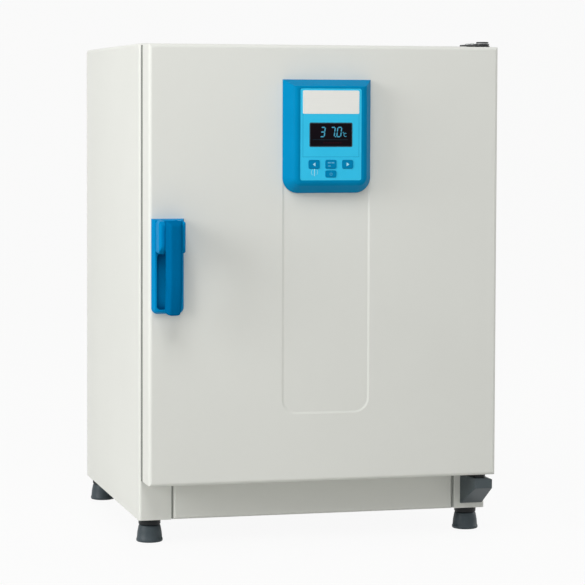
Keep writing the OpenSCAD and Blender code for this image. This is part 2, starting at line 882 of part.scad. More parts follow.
module wire_shelf(k) {
  wire_x = shelf_half - rim_r - shelf_corner_r;
  translate([0, 0, shelf_z(k)]) {
    rotate([-90, 0, 0])
      ring_sweep(-shelf_half, shelf_y0 + rim_r, shelf_half, shelf_y1 - rim_r, shelf_corner_r) circle(rim_r);
    for (i = [0:wire_n - 1])
      translate([wire_x * (2 * i / (wire_n - 1) - 1), shelf_y0 + rim_r, 0]) rotate([-90, 0, 0])
        cylinder(r = wire_r, h = shelf_d - 2 * rim_r);
    for (y = [shelf_y0 + shelf_d / 4, shelf_y1 - shelf_d / 4])
      translate([-wire_x - cross_end, y, weld - wire_r - cross_r]) rotate([0, 90, 0])
        cylinder(r = cross_r, h = 2 * (wire_x + cross_end));
  }
}

module lower_shelf() { color(steel) at_front() wire_shelf(lower_slot); }
module upper_shelf() { color(steel) at_front() wire_shelf(upper_slot); }

// The keeper's roller stands just over the hook's nose, inside the left post
module keeper_rod(r, half) { translate([-half, 0, 0]) rotate([0, 90, 0]) cylinder(r = r, h = 2 * half); }

module latch_keeper() {
  y0 = sheet_t;
  nose_z = pivot_z + hook_h / 2 + hook_nose;
  at = [0, y0 + keeper_t + 1 + roller_r, nose_z + 2 * clear + roller_r];
  ear = [keeper_ear_x, keeper_ear_x + keeper_t];
  color(steel) at_front() translate([handle_x, 0, 0]) {
    difference() {
      union() {
        block([-keeper_w / 2, y0, nose_z + 3], [keeper_w / 2, y0 + keeper_t, nose_z + 3 + keeper_h]);
        both_sides() along_x(ear[0], ear[1])
          rounded(y0 + 1, at[2] - roller_r - 1, return_d - 1, at[2] + 2 * roller_r + 1, [0, 4, 4, 0]);
      }
      translate(at) keeper_rod(roller_pin_r + run_fit, keeper_w);
    }
    translate(at) keeper_rod(roller_r, ear[0] - 0.5);
    translate(at) keeper_rod(roller_pin_r, ear[1] + 0.5);
  }
}

module upper_hinge_plate() {
  color(black_plastic) at_front() along_z(top_z, top_z + plate_t) difference() {
    rounded(hinge_x + plate_side - plate_w, hinge_y - plate_nose, hinge_x + plate_side, plate_back,
            plate_corner_r);
    translate([hinge_x, hinge_y]) circle(hinge_pin_r + run_fit);
    plate_screw_places() circle(hinge_screw_r + run_fit);
  }
}

module hinge_pins() {
  plate_top = top_z + plate_t;
  leg_low = lower_leg_z - bracket_t;
  color(steel) at_front() translate([hinge_x, hinge_y, 0]) {
    translate([0, 0, plate_top]) cylinder(r = pin_head_r, h = pin_head_h);
    translate([0, 0, door_z1 - pin_reach]) cylinder(r = hinge_pin_r, h = plate_top - door_z1 + pin_reach);
    translate([0, 0, leg_low]) cylinder(r = hinge_pin_r, h = door_z0 + pin_reach - leg_low);
  }
}

module bracket_screw_places() {
  for (z = bracket_screw_z) translate([hinge_x, -bracket_t, z]) rotate([90, 0, 0]) children();
}

// Angle on the right post: the door's lower bush stands on its leg
module lower_hinge_bracket() {
  x0 = hinge_x - bracket_w / 2;
  x1 = hinge_x + bracket_w / 2;
  leg_low = lower_leg_z - bracket_t;
  color(black_plastic) at_front() difference() {
    union() {
      along_z(leg_low, lower_leg_z) {
        translate([x0, hinge_y]) square([bracket_w, hinge_forward]);
        translate([hinge_x, hinge_y]) circle(d = bracket_w);
      }
      along_y(-bracket_t, 0) evenly(x0, bracket_foot_z, x1, lower_leg_z, 2);
    }
    translate([hinge_x, hinge_y, leg_low - 1]) cylinder(r = hinge_pin_r + run_fit, h = bracket_t + 2);
    bracket_screw_places() translate([0, 0, -bracket_t - 1])
      cylinder(r = hinge_screw_r + run_fit, h = bracket_t + 2);
  }
}

// Wedge that hides the bracket's foot: it narrows to the front, and slopes back below
module cover_form(inset) {
  over = inset > 0 ? 1 : 0;
  right = cover_right - inset;
  left = cover_right - cover_w + inset;
  nose = cover_right - cover_nose_w + inset;
  front = inset - cover_out;
  z0 = cover_z0 + inset;
  z1 = cover_z1 - inset;
  cut = cover_chamfer - [inset, inset] / 4;
  intersection() {
    along_z(0, z1) polygon([[left, over], [nose, front], [right, front], [right, over]]);
    along_x(left - 1, right + 1) polygon([
      [over, z0], [-cover_foot, z0], [front, cover_z1 - cover_nose_h + inset / 2], [front, z1], [over, z1]
    ]);
    along_y(front, over) polygon([
      [left, z0], [right, z0], [right, z1 - cut[1]], [right - cut[0], z1], [left, z1]
    ]);
  }
}

module lower_hinge_cover() {
  half = bracket_w / 2 + clear;
  color(slate_plastic) at_front() difference() {
    cover_form(0);
    cover_form(cover_wall);
    block([hinge_x - half, -bracket_t - clear, cover_z1 - 3 * cover_wall],
          [hinge_x + half, 1, cover_z1 + 1]);
  }
}

module screw_head() { cylinder(r1 = screw_head_r, r2 = screw_head_r - 1, h = screw_head_h); }

module screw(r, len) {
  translate([0, 0, -len]) cylinder(r = r, h = len + 0.5);
  screw_head();
}

module hinge_screws() {
  color(steel) at_front() {
    plate_screw_places() translate([0, 0, top_z + plate_t]) screw(hinge_screw_r, plate_t + screw_len);
    bracket_screw_places() screw(hinge_screw_r, screw_len);
  }
}

module mains_inlet() {
  rim_x = inlet_w + 2 * (inlet_wall + inlet_rim_w);
  rim_z = inlet_h + 2 * (inlet_wall + inlet_rim_w);
  color(black_plastic) at_front() translate([inlet_at[0], 0, inlet_at[1]]) difference() {
    union() {
      along_y(housing_d, housing_d + inlet_rim) evenly(-rim_x / 2, -rim_z / 2, rim_x / 2, rim_z / 2, 3);
      along_y(housing_d - inlet_depth, housing_d + 1)
        square([inlet_w + 2 * inlet_wall, inlet_h + 2 * inlet_wall], true);
    }
    along_y(housing_d - inlet_depth + inlet_wall, housing_d + inlet_rim + 1)
      inlet_outline(inlet_w, inlet_h, inlet_chamfer);
  }
}

module inlet_pins() {
  y0 = housing_d - inlet_depth + inlet_wall;
  color(steel) at_front() translate([inlet_at[0], 0, inlet_at[1]]) along_y(y0, y0 + inlet_pin[1])
    for (p = inlet_pin_places) translate(p) square([inlet_pin[0], inlet_pin[2]], true);
}

module socket_outline(grow) {
  x = socket_shell[0] / 2 + grow;
  z = socket_shell[1] / 2 + grow;
  polygon([[-x, z], [x, z], [x - 1, -z], [1 - x, -z]]);
}

module data_socket() {
  color(steel) at_front() translate([socket_at[0], 0, socket_at[1]]) difference() {
    union() {
      along_y(housing_d, housing_d + socket_flange)
        evenly(-socket_w / 2, -socket_h / 2, socket_w / 2, socket_h / 2, 2);
      along_y(housing_d - 2 * socket_out, housing_d + socket_out) socket_outline(0);
    }
    along_y(housing_d, housing_d + socket_out + 1) socket_outline(-socket_wall);
  }
}

module rear_screws() {
  color(steel) at_front() for (p = rear_screw_places())
    translate([p[0], housing_d, p[1]]) rotate([-90, 0, 0]) screw(rear_screw_r, screw_len);
}

module foot_collars() {
  color(black_plastic) at_front() foot_places() translate([0, 0, foot_h - collar_h]) rotate_extrude()
    rounded(stud_r + clear, 0, collar_d / 2, collar_h, [0, collar_edge_r, collar_edge_r / 2, 0]);
}

// A foot is a tapered moulding on a threaded stud, with an upright band and a soft edge on the floor
module foot(x, y) {
  body_h = foot_h - collar_h - clear;
  r0 = foot_bottom_d / 2;
  r1 = foot_top_d / 2;
  stud_top = foot_h + base_t + nut_h + 6;
  color(slate_plastic) at_front() translate([x, y, 0]) {
    rotate_extrude() difference() {
      polygon([[0, 0], [r0, 0], [r0, foot_band], [r1, body_h], [0, body_h]]);
      translate([r0, 0]) rotate(90) corner_cut(foot_edge_r);
    }
    translate([0, 0, body_h - 1]) cylinder(r = stud_r, h = stud_top - body_h + 1);
  }
}

module front_left_foot() { foot(-foot_x, foot_inset_y); }
module front_right_foot() { foot(foot_x, foot_inset_y); }
module rear_left_foot() { foot(-foot_x, housing_d - foot_inset_y); }
module rear_right_foot() { foot(foot_x, housing_d - foot_inset_y); }

// Inner glass door

module glass_seal() {
  h = mouth_d - glass_back - clear;
  w = glass_seal_w;
  color(rubber) at_front() translate([0, mouth_d, 0])
    ring_sweep(-chamber_half - glass_seal_out, chamber_z0 - glass_seal_out,
               chamber_half + glass_seal_out, chamber_z1 + glass_seal_out, chamber_r)
      rounded(-w / 2, -h, w / 2, 0, [2, 2, 0, 0]);
}

module glass_hinge_brackets() {
  x = glass_axis[0];
  reach = glass_pin_reach;
  color(steel) at_front() for (up = [0, 1]) {
    z0 = up ? mouth_z1 - bracket_h : mouth_z0;
    along_z(z0, z0 + bracket_h)
      rounded(x - reach, 0, mouth_half - mouth_r - 0.1, mouth_d - 1, [3, 3, 0, 0]);
    translate([x, glass_axis[1], up ? z0 - reach : z0 + bracket_h - 1])
      cylinder(r = glass_pin_r, h = reach + 1);
  }
}

module glass_catch() {
  z = (glass_z0 + glass_z1) / 2;
  x0 = glass_left + 0.5;
  color(black_plastic) at_front()
    block([x0, glass_back + clear, z - pull_h / 2], [x0 + catch_w, mouth_d, z + pull_h / 2]);
}

module glass_pane() {
  color("#BFE0DC", 0.35) at_front() along_y(glass_depth, glass_back)
    evenly(glass_left, glass_z0, glass_right, glass_z1, 4);
}

module glass_clamps() {
  x = glass_axis[0];
  color(steel) at_front() for (up = [0, 1]) {
    z0 = up ? mouth_z1 - bracket_h - clear - clamp_h : mouth_z0 + bracket_h + clear;
    difference() {
      along_z(z0, z0 + clamp_h) {
        rounded(x - clamp_w, clamp_front, x, glass_back, [2, 0, 4, 0]);
        translate(glass_axis) circle(glass_knuckle_r);
      }
      block([x - clamp_w - 1, glass_depth, glass_z0], [glass_right, glass_back, glass_z1]);
      translate([x, glass_axis[1], z0 - 1]) cylinder(r = glass_pin_r + run_fit, h = clamp_h + 2);
    }
  }
}

module glass_pull() {
  z = (glass_z0 + glass_z1) / 2;
  color(steel) at_front() difference() {
    along_z(z - pull_h / 2, z + pull_h / 2)
      rounded(glass_left, glass_depth - pull_out, glass_left + pull_w, glass_depth, [3, 3, 0, 0]);
    translate([glass_left + pull_w + pull_groove_r / 2, glass_depth - pull_out / 2, z - pull_h])
      cylinder(r = pull_groove_r, h = 2 * pull_h);
  }
}

// Outer door

module door_form(inset) {
  over = inset > 0 ? 1 : 0;
  x = door_half - inset;
  y0 = door_face + inset;
  y1 = skin_back + over;
  z0 = door_z0 + inset;
  z1 = door_z1 - inset;
  r = door_r - inset;
  intersection() {
    along_z(z0, z1) rounded(-x, y0, x, y1, [r, r, 0, 0]);
    along_x(-x, x) rounded(y0, z0, y1, z1, [r, 0, 0, r]);
    along_y(y0, y1) evenly(-x, z0, x, z1, r / 2);
  }
}

// Field drawn into the door's face, whose upper end lies behind the control housing
module drawn_field(grow, deeper) {
  half = control_w / 2 + grow;
  translate([0, door_face, 0])
    pocket(-half, door_z0 + field_raise - grow, half, control_z0 + 2 * field_r + grow, field_r + grow,
           field_depth + deeper, field_slope);
}

module cable_hole(y0, y1) {
  translate([0, y1, control_z0 + control_h / 2]) rotate([90, 0, 0]) cylinder(r = cable_hole_r, h = y1 - y0);
}

module hinge_bores(r) {
  for (z = [door_z0 - 1, door_z1 - pin_reach - 1])
    translate([hinge_x, hinge_y, z]) cylinder(r = r, h = pin_reach + 2);
}

module door_skin() {
  color(white_paint) at_front() difference() {
    union() {
      difference() {
        door_form(0);
        door_form(door_sheet);
      }
      intersection() {
        drawn_field(field_margin, door_sheet);
        door_form(door_sheet / 2);
      }
    }
    drawn_field(0, 0);
    cable_hole(door_face - 1, door_face + 5);
    latch_slot(door_face - 1, door_face + 5, hook_slot_z0, hook_slot_z1);
    hinge_bores(bush_r + run_fit);
  }
}

module door_liner() {
  i = liner_field_inset;
  color(steel) at_front() difference() {
    along_y(skin_back, door_back) difference() {
      evenly(-door_half, door_z0, door_half, door_z1, door_r / 2);
      translate([handle_x - latch_slot_w / 2, hook_slot_z0])
        square([latch_slot_w, hook_slot_z1 - hook_slot_z0]);
    }
    translate([0, door_back, 0]) mirror([0, 1, 0])
      pocket(i - mouth_half, mouth_z0 + i, mouth_half - i, mouth_z1 - i, liner_field_r, door_liner_t / 2,
             field_slope);
  }
}

module hinge_block_places() {
  gap = door_sheet + clear;
  for (z = [door_z0 + gap, door_z1 - gap - pin_reach]) translate([hinge_x, hinge_y, z]) children();
}

module block_body(grow) {
  x1 = min(block_half, door_half - hinge_x - door_sheet - clear);
  translate([-block_half - grow, -block_half - grow, -grow])
    cube([block_half + x1 + 2 * grow, 2 * (block_half + grow), pin_reach + 2 * grow]);
}

module door_insulation() {
  i = door_sheet + clear;
  front = door_face + door_sheet * 2 + field_depth + clear;
  color(foam) at_front() difference() {
    along_y(front, skin_back - clear)
      evenly(-door_half + i, door_z0 + i, door_half - i, door_z1 - i, door_r / 2);
    latch_slot(front - 1, 0, hook_slot_z0 - 1, hook_slot_z1 + 1);
    hinge_block_places() block_body(clear);
    hinge_bores(bush_r + clear);
  }
}

module door_seal() {
  h = door_gap - clear;
  bulb = h / 2;
  x = (mouth_half + frame_half) / 2;
  z0 = (mouth_z0 + frame_z0) / 2;
  z1 = mouth_z1 + (mouth_z0 - frame_z0) / 2;
  color(rubber) at_front() translate([0, door_back, 0]) ring_sweep(-x, z0, x, z1, seal_r)
    difference() {
      union() {
        rounded(-seal_w / 2, 0, seal_w / 2, 2, [0, 0, 1, 1]);
        translate([0, bulb]) circle(bulb);
      }
      translate([0, bulb]) circle(bulb / 2);
    }
}

module hinge_blocks() {
  color(steel) at_front() difference() {
    hinge_block_places() block_body(0);
    hinge_bores(bush_r + run_fit);
  }
}

module hinge_bushes() {
  color(black_plastic) at_front() translate([hinge_x, hinge_y, 0]) for (up = [0, 1])
    translate([0, 0, up ? door_z1 : door_z0]) rotate([up ? 180 : 0, 0, 0]) difference() {
      union() {
        translate([0, 0, -bush_flange_t]) cylinder(r = bush_flange_r, h = bush_flange_t);
        cylinder(r = bush_r, h = pin_reach);
      }
      translate([0, 0, -bush_flange_t - 1])
        cylinder(r = hinge_pin_r + run_fit, h = pin_reach + bush_flange_t + 2);
    }
}

// Control housing

function key_places() = [
  [-key_pitch, key_row_z, key_h], [0, key_row_z, key_h], [key_pitch, key_row_z, key_h],
  [0, power_row_z, power_key_h]
];

module key_outline(p, grow) {
  w = key_w / 2 + grow;
  h = p[2] / 2 + grow;
  translate([p[0], p[1]]) evenly(-w, -h, w, h, 2 + grow);
}

module display_outline(grow) {
  evenly(-display_w / 2 - grow, display_z1 - display_h - grow, display_w / 2 + grow, display_z1 + grow, 2);
}

module foil_outline(grow) {
  evenly(-foil_w / 2 - grow, foil_z1 - foil_h - grow, foil_w / 2 + grow, foil_z1 + grow, 3);
}

module board_boss_places() {
  x = board_half - board_inset;
  for (s = [-1, 1], z = [foil_z1 - foil_h + board_inset, foil_z1 - board_inset])
    translate([s * x, 0, z]) children();
}

// The wall is as thick across the leaning sides as it is behind the foil
module control_shape(wall) {
  i = wall * norm([control_lean, control_out]) / control_out;
  share = (control_out - wall) / control_out;
  translate([0, door_face, control_z0 + i])
    moulding(control_w - 2 * i, control_h - 2 * i, control_out - wall, control_corner_r - i,
             control_lean * share, control_top_lean * share, control_edge_r - wall / 2,
             control_top_r - wall / 2, wall > 0 ? 1 : 0);
}

module control_housing() {
  color(housing_blue) at_front() {
    difference() {
      control_shape(0);
      control_shape(control_wall);
      along_y(control_face - 1, control_face + foil_t) foil_outline(0.1);
      along_y(control_face - 1, panel_back + 1) {
        display_outline(-2);
        for (p = key_places()) key_outline(p, clear);
      }
    }
    board_boss_places() translate([0, board_face, 0]) rotate([90, 0, 0])
      cylinder(r = board_boss_r, h = board_face - panel_back + 1);
  }
}

module keypad_foil() {
  color(foil_blue) at_front() along_y(control_face, control_face + foil_t) difference() {
    foil_outline(0);
    display_outline(0.1);
    for (p = key_places()) key_outline(p, clear);
  }
}

module label_plate() {
  z1 = foil_z1 - label_drop;
  color("#DCDDD9") at_front() along_y(control_face - label_t, control_face)
    evenly(-label_w / 2, z1 - label_h, label_w / 2, z1, 2);
}

module display_window() {
  color("#0A0812") at_front() along_y(control_face, control_face + foil_t) display_outline(0);
}

module display_module() {
  color("#1C2226") at_front() along_y(panel_back + clear, board_face) display_outline(3);
}

module control_board() {
  key_back = panel_back + clear + key_ledge + key_foot;
  color(board_green) at_front() {
    along_y(board_face, board_face + board_t)
      evenly(-board_half, foil_z1 - foil_h - 2, board_half, foil_z1 + 2, 2);
    for (p = key_places())
      along_y(key_back + key_travel + switch_gap, board_face + 0.5) translate([p[0], p[1]])
        square(switch_w, true);
  }
}

module key(i) {
  p = key_places()[i];
  ledge_front = panel_back + clear;
  color(key_blue) at_front() {
    along_y(control_face - key_proud, ledge_front + 0.5) key_outline(p, 0);
    along_y(ledge_front, ledge_front + key_ledge) key_outline(p, key_ledge);
    along_y(ledge_front + 0.5, ledge_front + key_ledge + key_foot) translate([p[0], p[1]])
      square(key_foot_w, true);
  }
}

module left_key() { key(0); }
module menu_key() { key(1); }
module right_key() { key(2); }
module power_key() { key(3); }

// Handle: a base with two cheeks, and a lever that turns on a pin between them

module pivot_bore(r) {
  translate([handle_x - handle_w, pivot_y, pivot_z]) rotate([0, 90, 0]) cylinder(r = r, h = 2 * handle_w);
}

module cheek() {
  y1 = door_face - handle_t / 2;
  z0 = handle_z1 - hub_h;
  z1 = handle_z1 - handle_lean / 2;
  intersection() {
    along_x(cheek_inner, cheek_outer)
      rounded(cheek_front, z0, y1, z1, [cheek_low_r, 0, 0, cheek_top_r]);
    along_y(cheek_front, y1) rounded(0, z0, cheek_outer, z1, [0, cheek_r, cheek_r, 0]);
    along_z(z0, z1) rounded(0, cheek_front, cheek_outer, y1, [0, cheek_r, 0, 0]);
  }
}

module handle_base() {
  recess_half = handle_w / 2 - recess_rim;
  color(housing_blue) at_front() difference() {
    union() {
      translate([handle_x, door_face, handle_z0])
        moulding(handle_w, handle_h, handle_t, handle_corner_r, handle_lean, handle_lean / 2,
                 moulded_edge_r, moulded_edge_r);
      translate([handle_x, 0, 0]) both_sides() cheek();
    }
    translate([handle_x, door_face - handle_t, 0])
      pocket(-recess_half, handle_z0 + recess_rim, recess_half, handle_z1 - hub_h - recess_slope, recess_r,
             recess_depth, recess_slope);
    pivot_bore(lever_pin_r + run_fit);
    latch_slot(door_face - handle_t - 1, door_face + 1, pivot_z - hook_h, hook_slot_z1);
  }
}

module lever_pin() {
  half = cheek_outer - 1;
  color(steel) at_front() translate([handle_x - half, pivot_y, pivot_z]) rotate([0, 90, 0])
    cylinder(r = lever_pin_r, h = 2 * half);
}

module lever_section() { leaning_section(lever_w, lever_t, lever_lean, moulded_edge_r, 0); }

// The grip hangs straight down from its leaning top, and its lower end curves back to the door
module lever_grip(back, z0, z1) {
  half = lever_w / 2;
  bend_z = z0 + lever_bow_len;
  bend_r = (lever_bow_len * lever_bow_len + lever_bow * lever_bow) / (2 * lever_bow);
  bend_a = asin(lever_bow_len / bend_r) + bend_spare;
  intersection() {
    union() {
      translate([0, back, 0]) along_z(bend_z, z1) lever_section();
      translate([0, back + bend_r, bend_z]) rotate([-90, 0, -90]) rotate_extrude(angle = bend_a)
        translate([bend_r, 0]) rotate(90) lever_section();
    }
    along_y(back - lever_t, back + 2 * lever_bow)
      rounded(-half, z0, half, z1, [lever_corner_r, lever_corner_r, 0, 0]);
    along_x(-half, half) translate([back, z0]) rotate(90)
      leaning_edge(z1 - z0, lever_t, lever_lean, moulded_edge_r, 2 * lever_bow);
  }
}

module handle_lever() {
  grip_back = door_face - handle_out + lever_t;
  lever_z1 = handle_z1 - lever_end_gap;
  neck_y = grip_back - 1;
  neck_half = lever_neck_w / 2;
  color(housing_blue) at_front() difference() {
    translate([handle_x, 0, 0]) {
      lever_grip(grip_back, handle_z0 + lever_end_gap, lever_z1);
      along_x(-neck_half, neck_half) {
        translate([pivot_y, pivot_z]) circle(lever_head_r);
        polygon([
          [neck_y, pivot_z - lever_head_r], [pivot_y, pivot_z - lever_head_r],
          [pivot_y, pivot_z + lever_head_r], [neck_y, lever_z1 - lever_lean]
        ]);
      }
    }
    pivot_bore(lever_pin_r + run_fit);
  }
}

module latch_hook() {
  z0 = pivot_z - hook_h / 2;
  z1 = pivot_z + hook_h / 2;
  color(steel) at_front() difference() {
    translate([handle_x, 0, 0]) along_x(-hook_w / 2, hook_w / 2) polygon([
      [pivot_y, z0], [hook_tip, z0], [hook_tip, z1 + hook_nose / 2], [hook_tip - 4, z1 + hook_nose],
      [hook_tip - 7, z1 + hook_nose], [hook_tip - 7, z1], [pivot_y, z1]
    ]);
    pivot_bore(lever_head_r + run_fit);
  }
}

outer_housing();
rear_panel();
base_plate();
lower_front_panel();
front_frame();
inner_chamber();
insulation();
heater_mats();
power_supply();
temperature_sensor();
shelf_uprights();
lower_shelf_supports();
upper_shelf_supports();
lower_shelf();
upper_shelf();
latch_keeper();
upper_hinge_plate();
hinge_pins();
lower_hinge_bracket();
lower_hinge_cover();
hinge_screws();
mains_inlet();
inlet_pins();
data_socket();
rear_screws();
foot_collars();
glass_seal();
glass_hinge_brackets();
glass_catch();
glass_pane();
glass_clamps();
glass_pull();
door_skin();
door_liner();
door_insulation();
door_seal();
hinge_blocks();
hinge_bushes();
control_housing();
keypad_foil();
label_plate();
display_window();
display_module();
control_board();
left_key();
menu_key();
right_key();
power_key();
handle_base();
lever_pin();
handle_lever();
latch_hook();
front_left_foot();
front_right_foot();
rear_left_foot();
rear_right_foot();
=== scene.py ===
import math

import bmesh
import bpy
from mathutils import Matrix, Vector


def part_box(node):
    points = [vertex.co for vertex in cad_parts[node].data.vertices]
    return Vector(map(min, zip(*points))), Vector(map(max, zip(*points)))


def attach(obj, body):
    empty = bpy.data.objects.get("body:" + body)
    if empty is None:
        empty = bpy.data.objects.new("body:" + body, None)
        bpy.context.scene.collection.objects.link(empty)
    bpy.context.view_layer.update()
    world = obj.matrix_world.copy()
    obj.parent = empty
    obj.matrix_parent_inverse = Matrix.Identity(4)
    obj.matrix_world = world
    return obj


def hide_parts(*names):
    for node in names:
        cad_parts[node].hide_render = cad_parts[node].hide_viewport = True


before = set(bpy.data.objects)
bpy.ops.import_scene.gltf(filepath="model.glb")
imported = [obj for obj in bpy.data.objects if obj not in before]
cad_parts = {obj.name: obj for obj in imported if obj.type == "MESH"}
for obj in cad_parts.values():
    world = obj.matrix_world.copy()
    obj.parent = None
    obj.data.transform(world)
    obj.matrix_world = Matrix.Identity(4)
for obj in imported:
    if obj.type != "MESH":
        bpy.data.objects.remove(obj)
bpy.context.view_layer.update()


# The housing, rear panel, base plate, front frame and lower panel are folded from sheet steel, spot welded
# and powder coated in a warm white. The door's skin is drawn from the same sheet and gets the same coat.
# Powder flows out to a satin skin with a faint orange peel, and its tone drifts a little over a panel.

def linear(code):
    """An sRGB hex value as a linear colour."""
    parts = [int(code[i:i + 2], 16) / 255 for i in (1, 3, 5)]
    return (*(c / 12.92 if c <= 0.04045 else ((c + 0.055) / 1.055) ** 2.4 for c in parts), 1.0)


def node(tree, kind, sets=None, puts=None):
    """Adds a node: sets are its own settings, and puts are values or links for its inputs."""
    made = tree.nodes.new(kind)
    for key, value in (sets or {}).items():
        setattr(made, key, value)
    for key, value in (puts or {}).items():
        if isinstance(value, bpy.types.NodeSocket):
            tree.links.new(value, made.inputs[key])
        else:
            made.inputs[key].default_value = value
    return made


def new_finish(name, colour, **sockets):
    """A material, its node tree, its shader and the piece's own coordinates in metres."""
    made = bpy.data.materials.new(name)
    made.use_nodes = True
    made.diffuse_color = linear(colour)
    tree = made.node_tree
    tree.nodes.clear()
    values = {key.replace("_", " "): value for key, value in sockets.items()}
    shader = node(tree, "ShaderNodeBsdfPrincipled", puts={"Base Color": linear(colour), **values})
    node(tree, "ShaderNodeOutputMaterial", puts={"Surface": shader.outputs[0]})
    where = node(tree, "ShaderNodeTexCoord").outputs["Object"]
    return made, tree, shader, where


def wear(finish, *names):
    """Gives CAD nodes their finish."""
    for name in names:
        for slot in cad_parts[name].material_slots:
            slot.material = finish


powder_coat, tree, shader, where = new_finish(
    "powder_coated_steel", "#E9EAE5", IOR=1.5, Specular_IOR_Level=0.12)
# A pattern's scale is one over its size in metres. Orange peel is 1 to 2 mm across. It is drawn at 3 mm,
# so that it shows at all from a few steps away.
peel = node(tree, "ShaderNodeTexNoise", puts={"Vector": where, "Scale": 1 / 0.003, "Detail": 1.0})
# The coat is thinner on folded edges and rounds them by about half a millimetre.
edge = node(tree, "ShaderNodeBevel", sets={"samples": 4}, puts={"Radius": 0.0006})
bump = node(tree, "ShaderNodeBump", puts={
    "Height": peel.outputs[0], "Strength": 0.03, "Distance": 0.0002, "Normal": edge.outputs[0]})
drift = node(tree, "ShaderNodeTexNoise", puts={"Vector": where, "Scale": 1 / 0.25, "Detail": 2.0})
# A Mix node for colours takes its factor at input 0 and the colours at 6 and 7, and gives output 2.
tone = node(tree, "ShaderNodeMix", sets={"data_type": "RGBA"}, puts={
    0: drift.outputs[0], 6: linear("#EBECE7"), 7: linear("#E6E7E2")})
gloss = node(tree, "ShaderNodeMapRange", puts={"Value": drift.outputs[0], "To Min": 0.48, "To Max": 0.58})
tree.links.new(tone.outputs[2], shader.inputs["Base Color"])
tree.links.new(gloss.outputs[0], shader.inputs["Roughness"])
tree.links.new(bump.outputs[0], shader.inputs["Normal"])
wear(powder_coat, "outer_housing", "rear_panel", "base_plate", "lower_front_panel", "front_frame",
     "door_skin")


# The chamber is deep drawn and seam welded from stainless sheet. The slotted uprights, shelf ledges, glass
# clamps and hinges, the sensor's sheath and the door's inner panel are made of it too.
# The mill's brushing leaves fine level streaks.

brushed_stainless, tree, shader, where = new_finish("brushed_stainless_sheet", "#C9CBCC", Metallic=1.0)
# Brush marks are a tenth of a millimetre high. They are drawn 1.2 mm high and 17 cm long to show.
along = node(tree, "ShaderNodeMapping", puts={"Vector": where, "Scale": (6.0, 6.0, 1 / 0.0012)})
streak = node(tree, "ShaderNodeTexNoise", puts={"Vector": along.outputs[0], "Scale": 1.0, "Detail": 3.0})
tone = node(tree, "ShaderNodeMix", sets={"data_type": "RGBA"}, puts={
    0: streak.outputs[0], 6: linear("#BFC1C2"), 7: linear("#D3D5D6")})
gloss = node(tree, "ShaderNodeMapRange", puts={"Value": streak.outputs[0], "To Min": 0.24, "To Max": 0.38})
bump = node(tree, "ShaderNodeBump", puts={
    "Height": streak.outputs[0], "Strength": 0.06, "Distance": 0.0002})
tree.links.new(tone.outputs[2], shader.inputs["Base Color"])
tree.links.new(gloss.outputs[0], shader.inputs["Roughness"])
tree.links.new(bump.outputs[0], shader.inputs["Normal"])
wear(brushed_stainless, "inner_chamber", "shelf_uprights", "lower_shelf_supports", "upper_shelf_supports",
     "door_liner", "glass_clamps", "glass_hinge_brackets", "temperature_sensor")


# Mineral wool batts are cut to size and packed over the heater mats round the chamber, and into the door.
# The wool is spun from molten rock and bound with resin, which gives pale straw fibres that lie in layers.

mineral_wool, tree, shader, where = new_finish("mineral_wool_batt", "#D9CFA6", Roughness=0.9)
# A fibre is a hundredth of a millimetre thick. The felt of fibres is drawn at 2 mm, so that it shows.
felt = node(tree, "ShaderNodeTexNoise", puts={
    "Vector": where, "Scale": 1 / 0.002, "Detail": 6.0, "Distortion": 1.5})
tone = node(tree, "ShaderNodeMix", sets={"data_type": "RGBA"}, puts={
    0: felt.outputs[0], 6: linear("#C6B98B"), 7: linear("#E2D9B4")})
bump = node(tree, "ShaderNodeBump", puts={"Height": felt.outputs[0], "Strength": 0.5, "Distance": 0.0008})
tree.links.new(tone.outputs[2], shader.inputs["Base Color"])
tree.links.new(bump.outputs[0], shader.inputs["Normal"])
wear(mineral_wool, "insulation", "door_insulation")


# The heater mats are wound resistance wire between two silicone rubber sheets, glued to the chamber's
# outside. The wire shows through the rubber as a pattern of ribs.

heater_rubber, tree, shader, where = new_finish("silicone_heater_mat", "#B5651D", Roughness=0.6)
# A wave of scale 1 has 0.31 m from band to band, so these turns of wire lie about 9 mm apart.
turns = node(tree, "ShaderNodeTexWave", sets={"bands_direction": "Y"}, puts={
    "Vector": where, "Scale": 1 / 0.03, "Distortion": 1.5})
tone = node(tree, "ShaderNodeMix", sets={"data_type": "RGBA"}, puts={
    0: turns.outputs[1], 6: linear("#A45A18"), 7: linear("#C27028")})
bump = node(tree, "ShaderNodeBump", puts={"Height": turns.outputs[1], "Strength": 0.4, "Distance": 0.0008})
tree.links.new(tone.outputs[2], shader.inputs["Base Color"])
tree.links.new(bump.outputs[0], shader.inputs["Normal"])
wear(heater_rubber, "heater_mats")


# The supply board under the chamber and the control board in the door are glass fibre laminate under a
# green solder mask. Copper tracks show through the mask as lighter lanes.

solder_mask, tree, shader, where = new_finish("green_solder_mask", "#2E6B3A", Roughness=0.35)
# A row of bricks is a quarter of the scaled unit, so lanes half a millimetre wide lie about 4 mm apart.
lanes = node(tree, "ShaderNodeTexBrick", puts={
    "Vector": where, "Scale": 60.0, "Mortar Size": 0.03, "Color1": linear("#2A6335"),
    "Color2": linear("#2F6E3C"), "Mortar": linear("#4C8C55")})
tree.links.new(lanes.outputs[0], shader.inputs["Base Color"])
wear(solder_mask, "power_supply", "control_board")


# The two shelves are resistance welded from drawn steel wire, a thick rim with thin wires across it,
# and electropolished. The polish keeps a faint drawing grain along the wires.

polished_wire, tree, shader, where = new_finish("electropolished_wire", "#D6D8DA", Metallic=1.0)
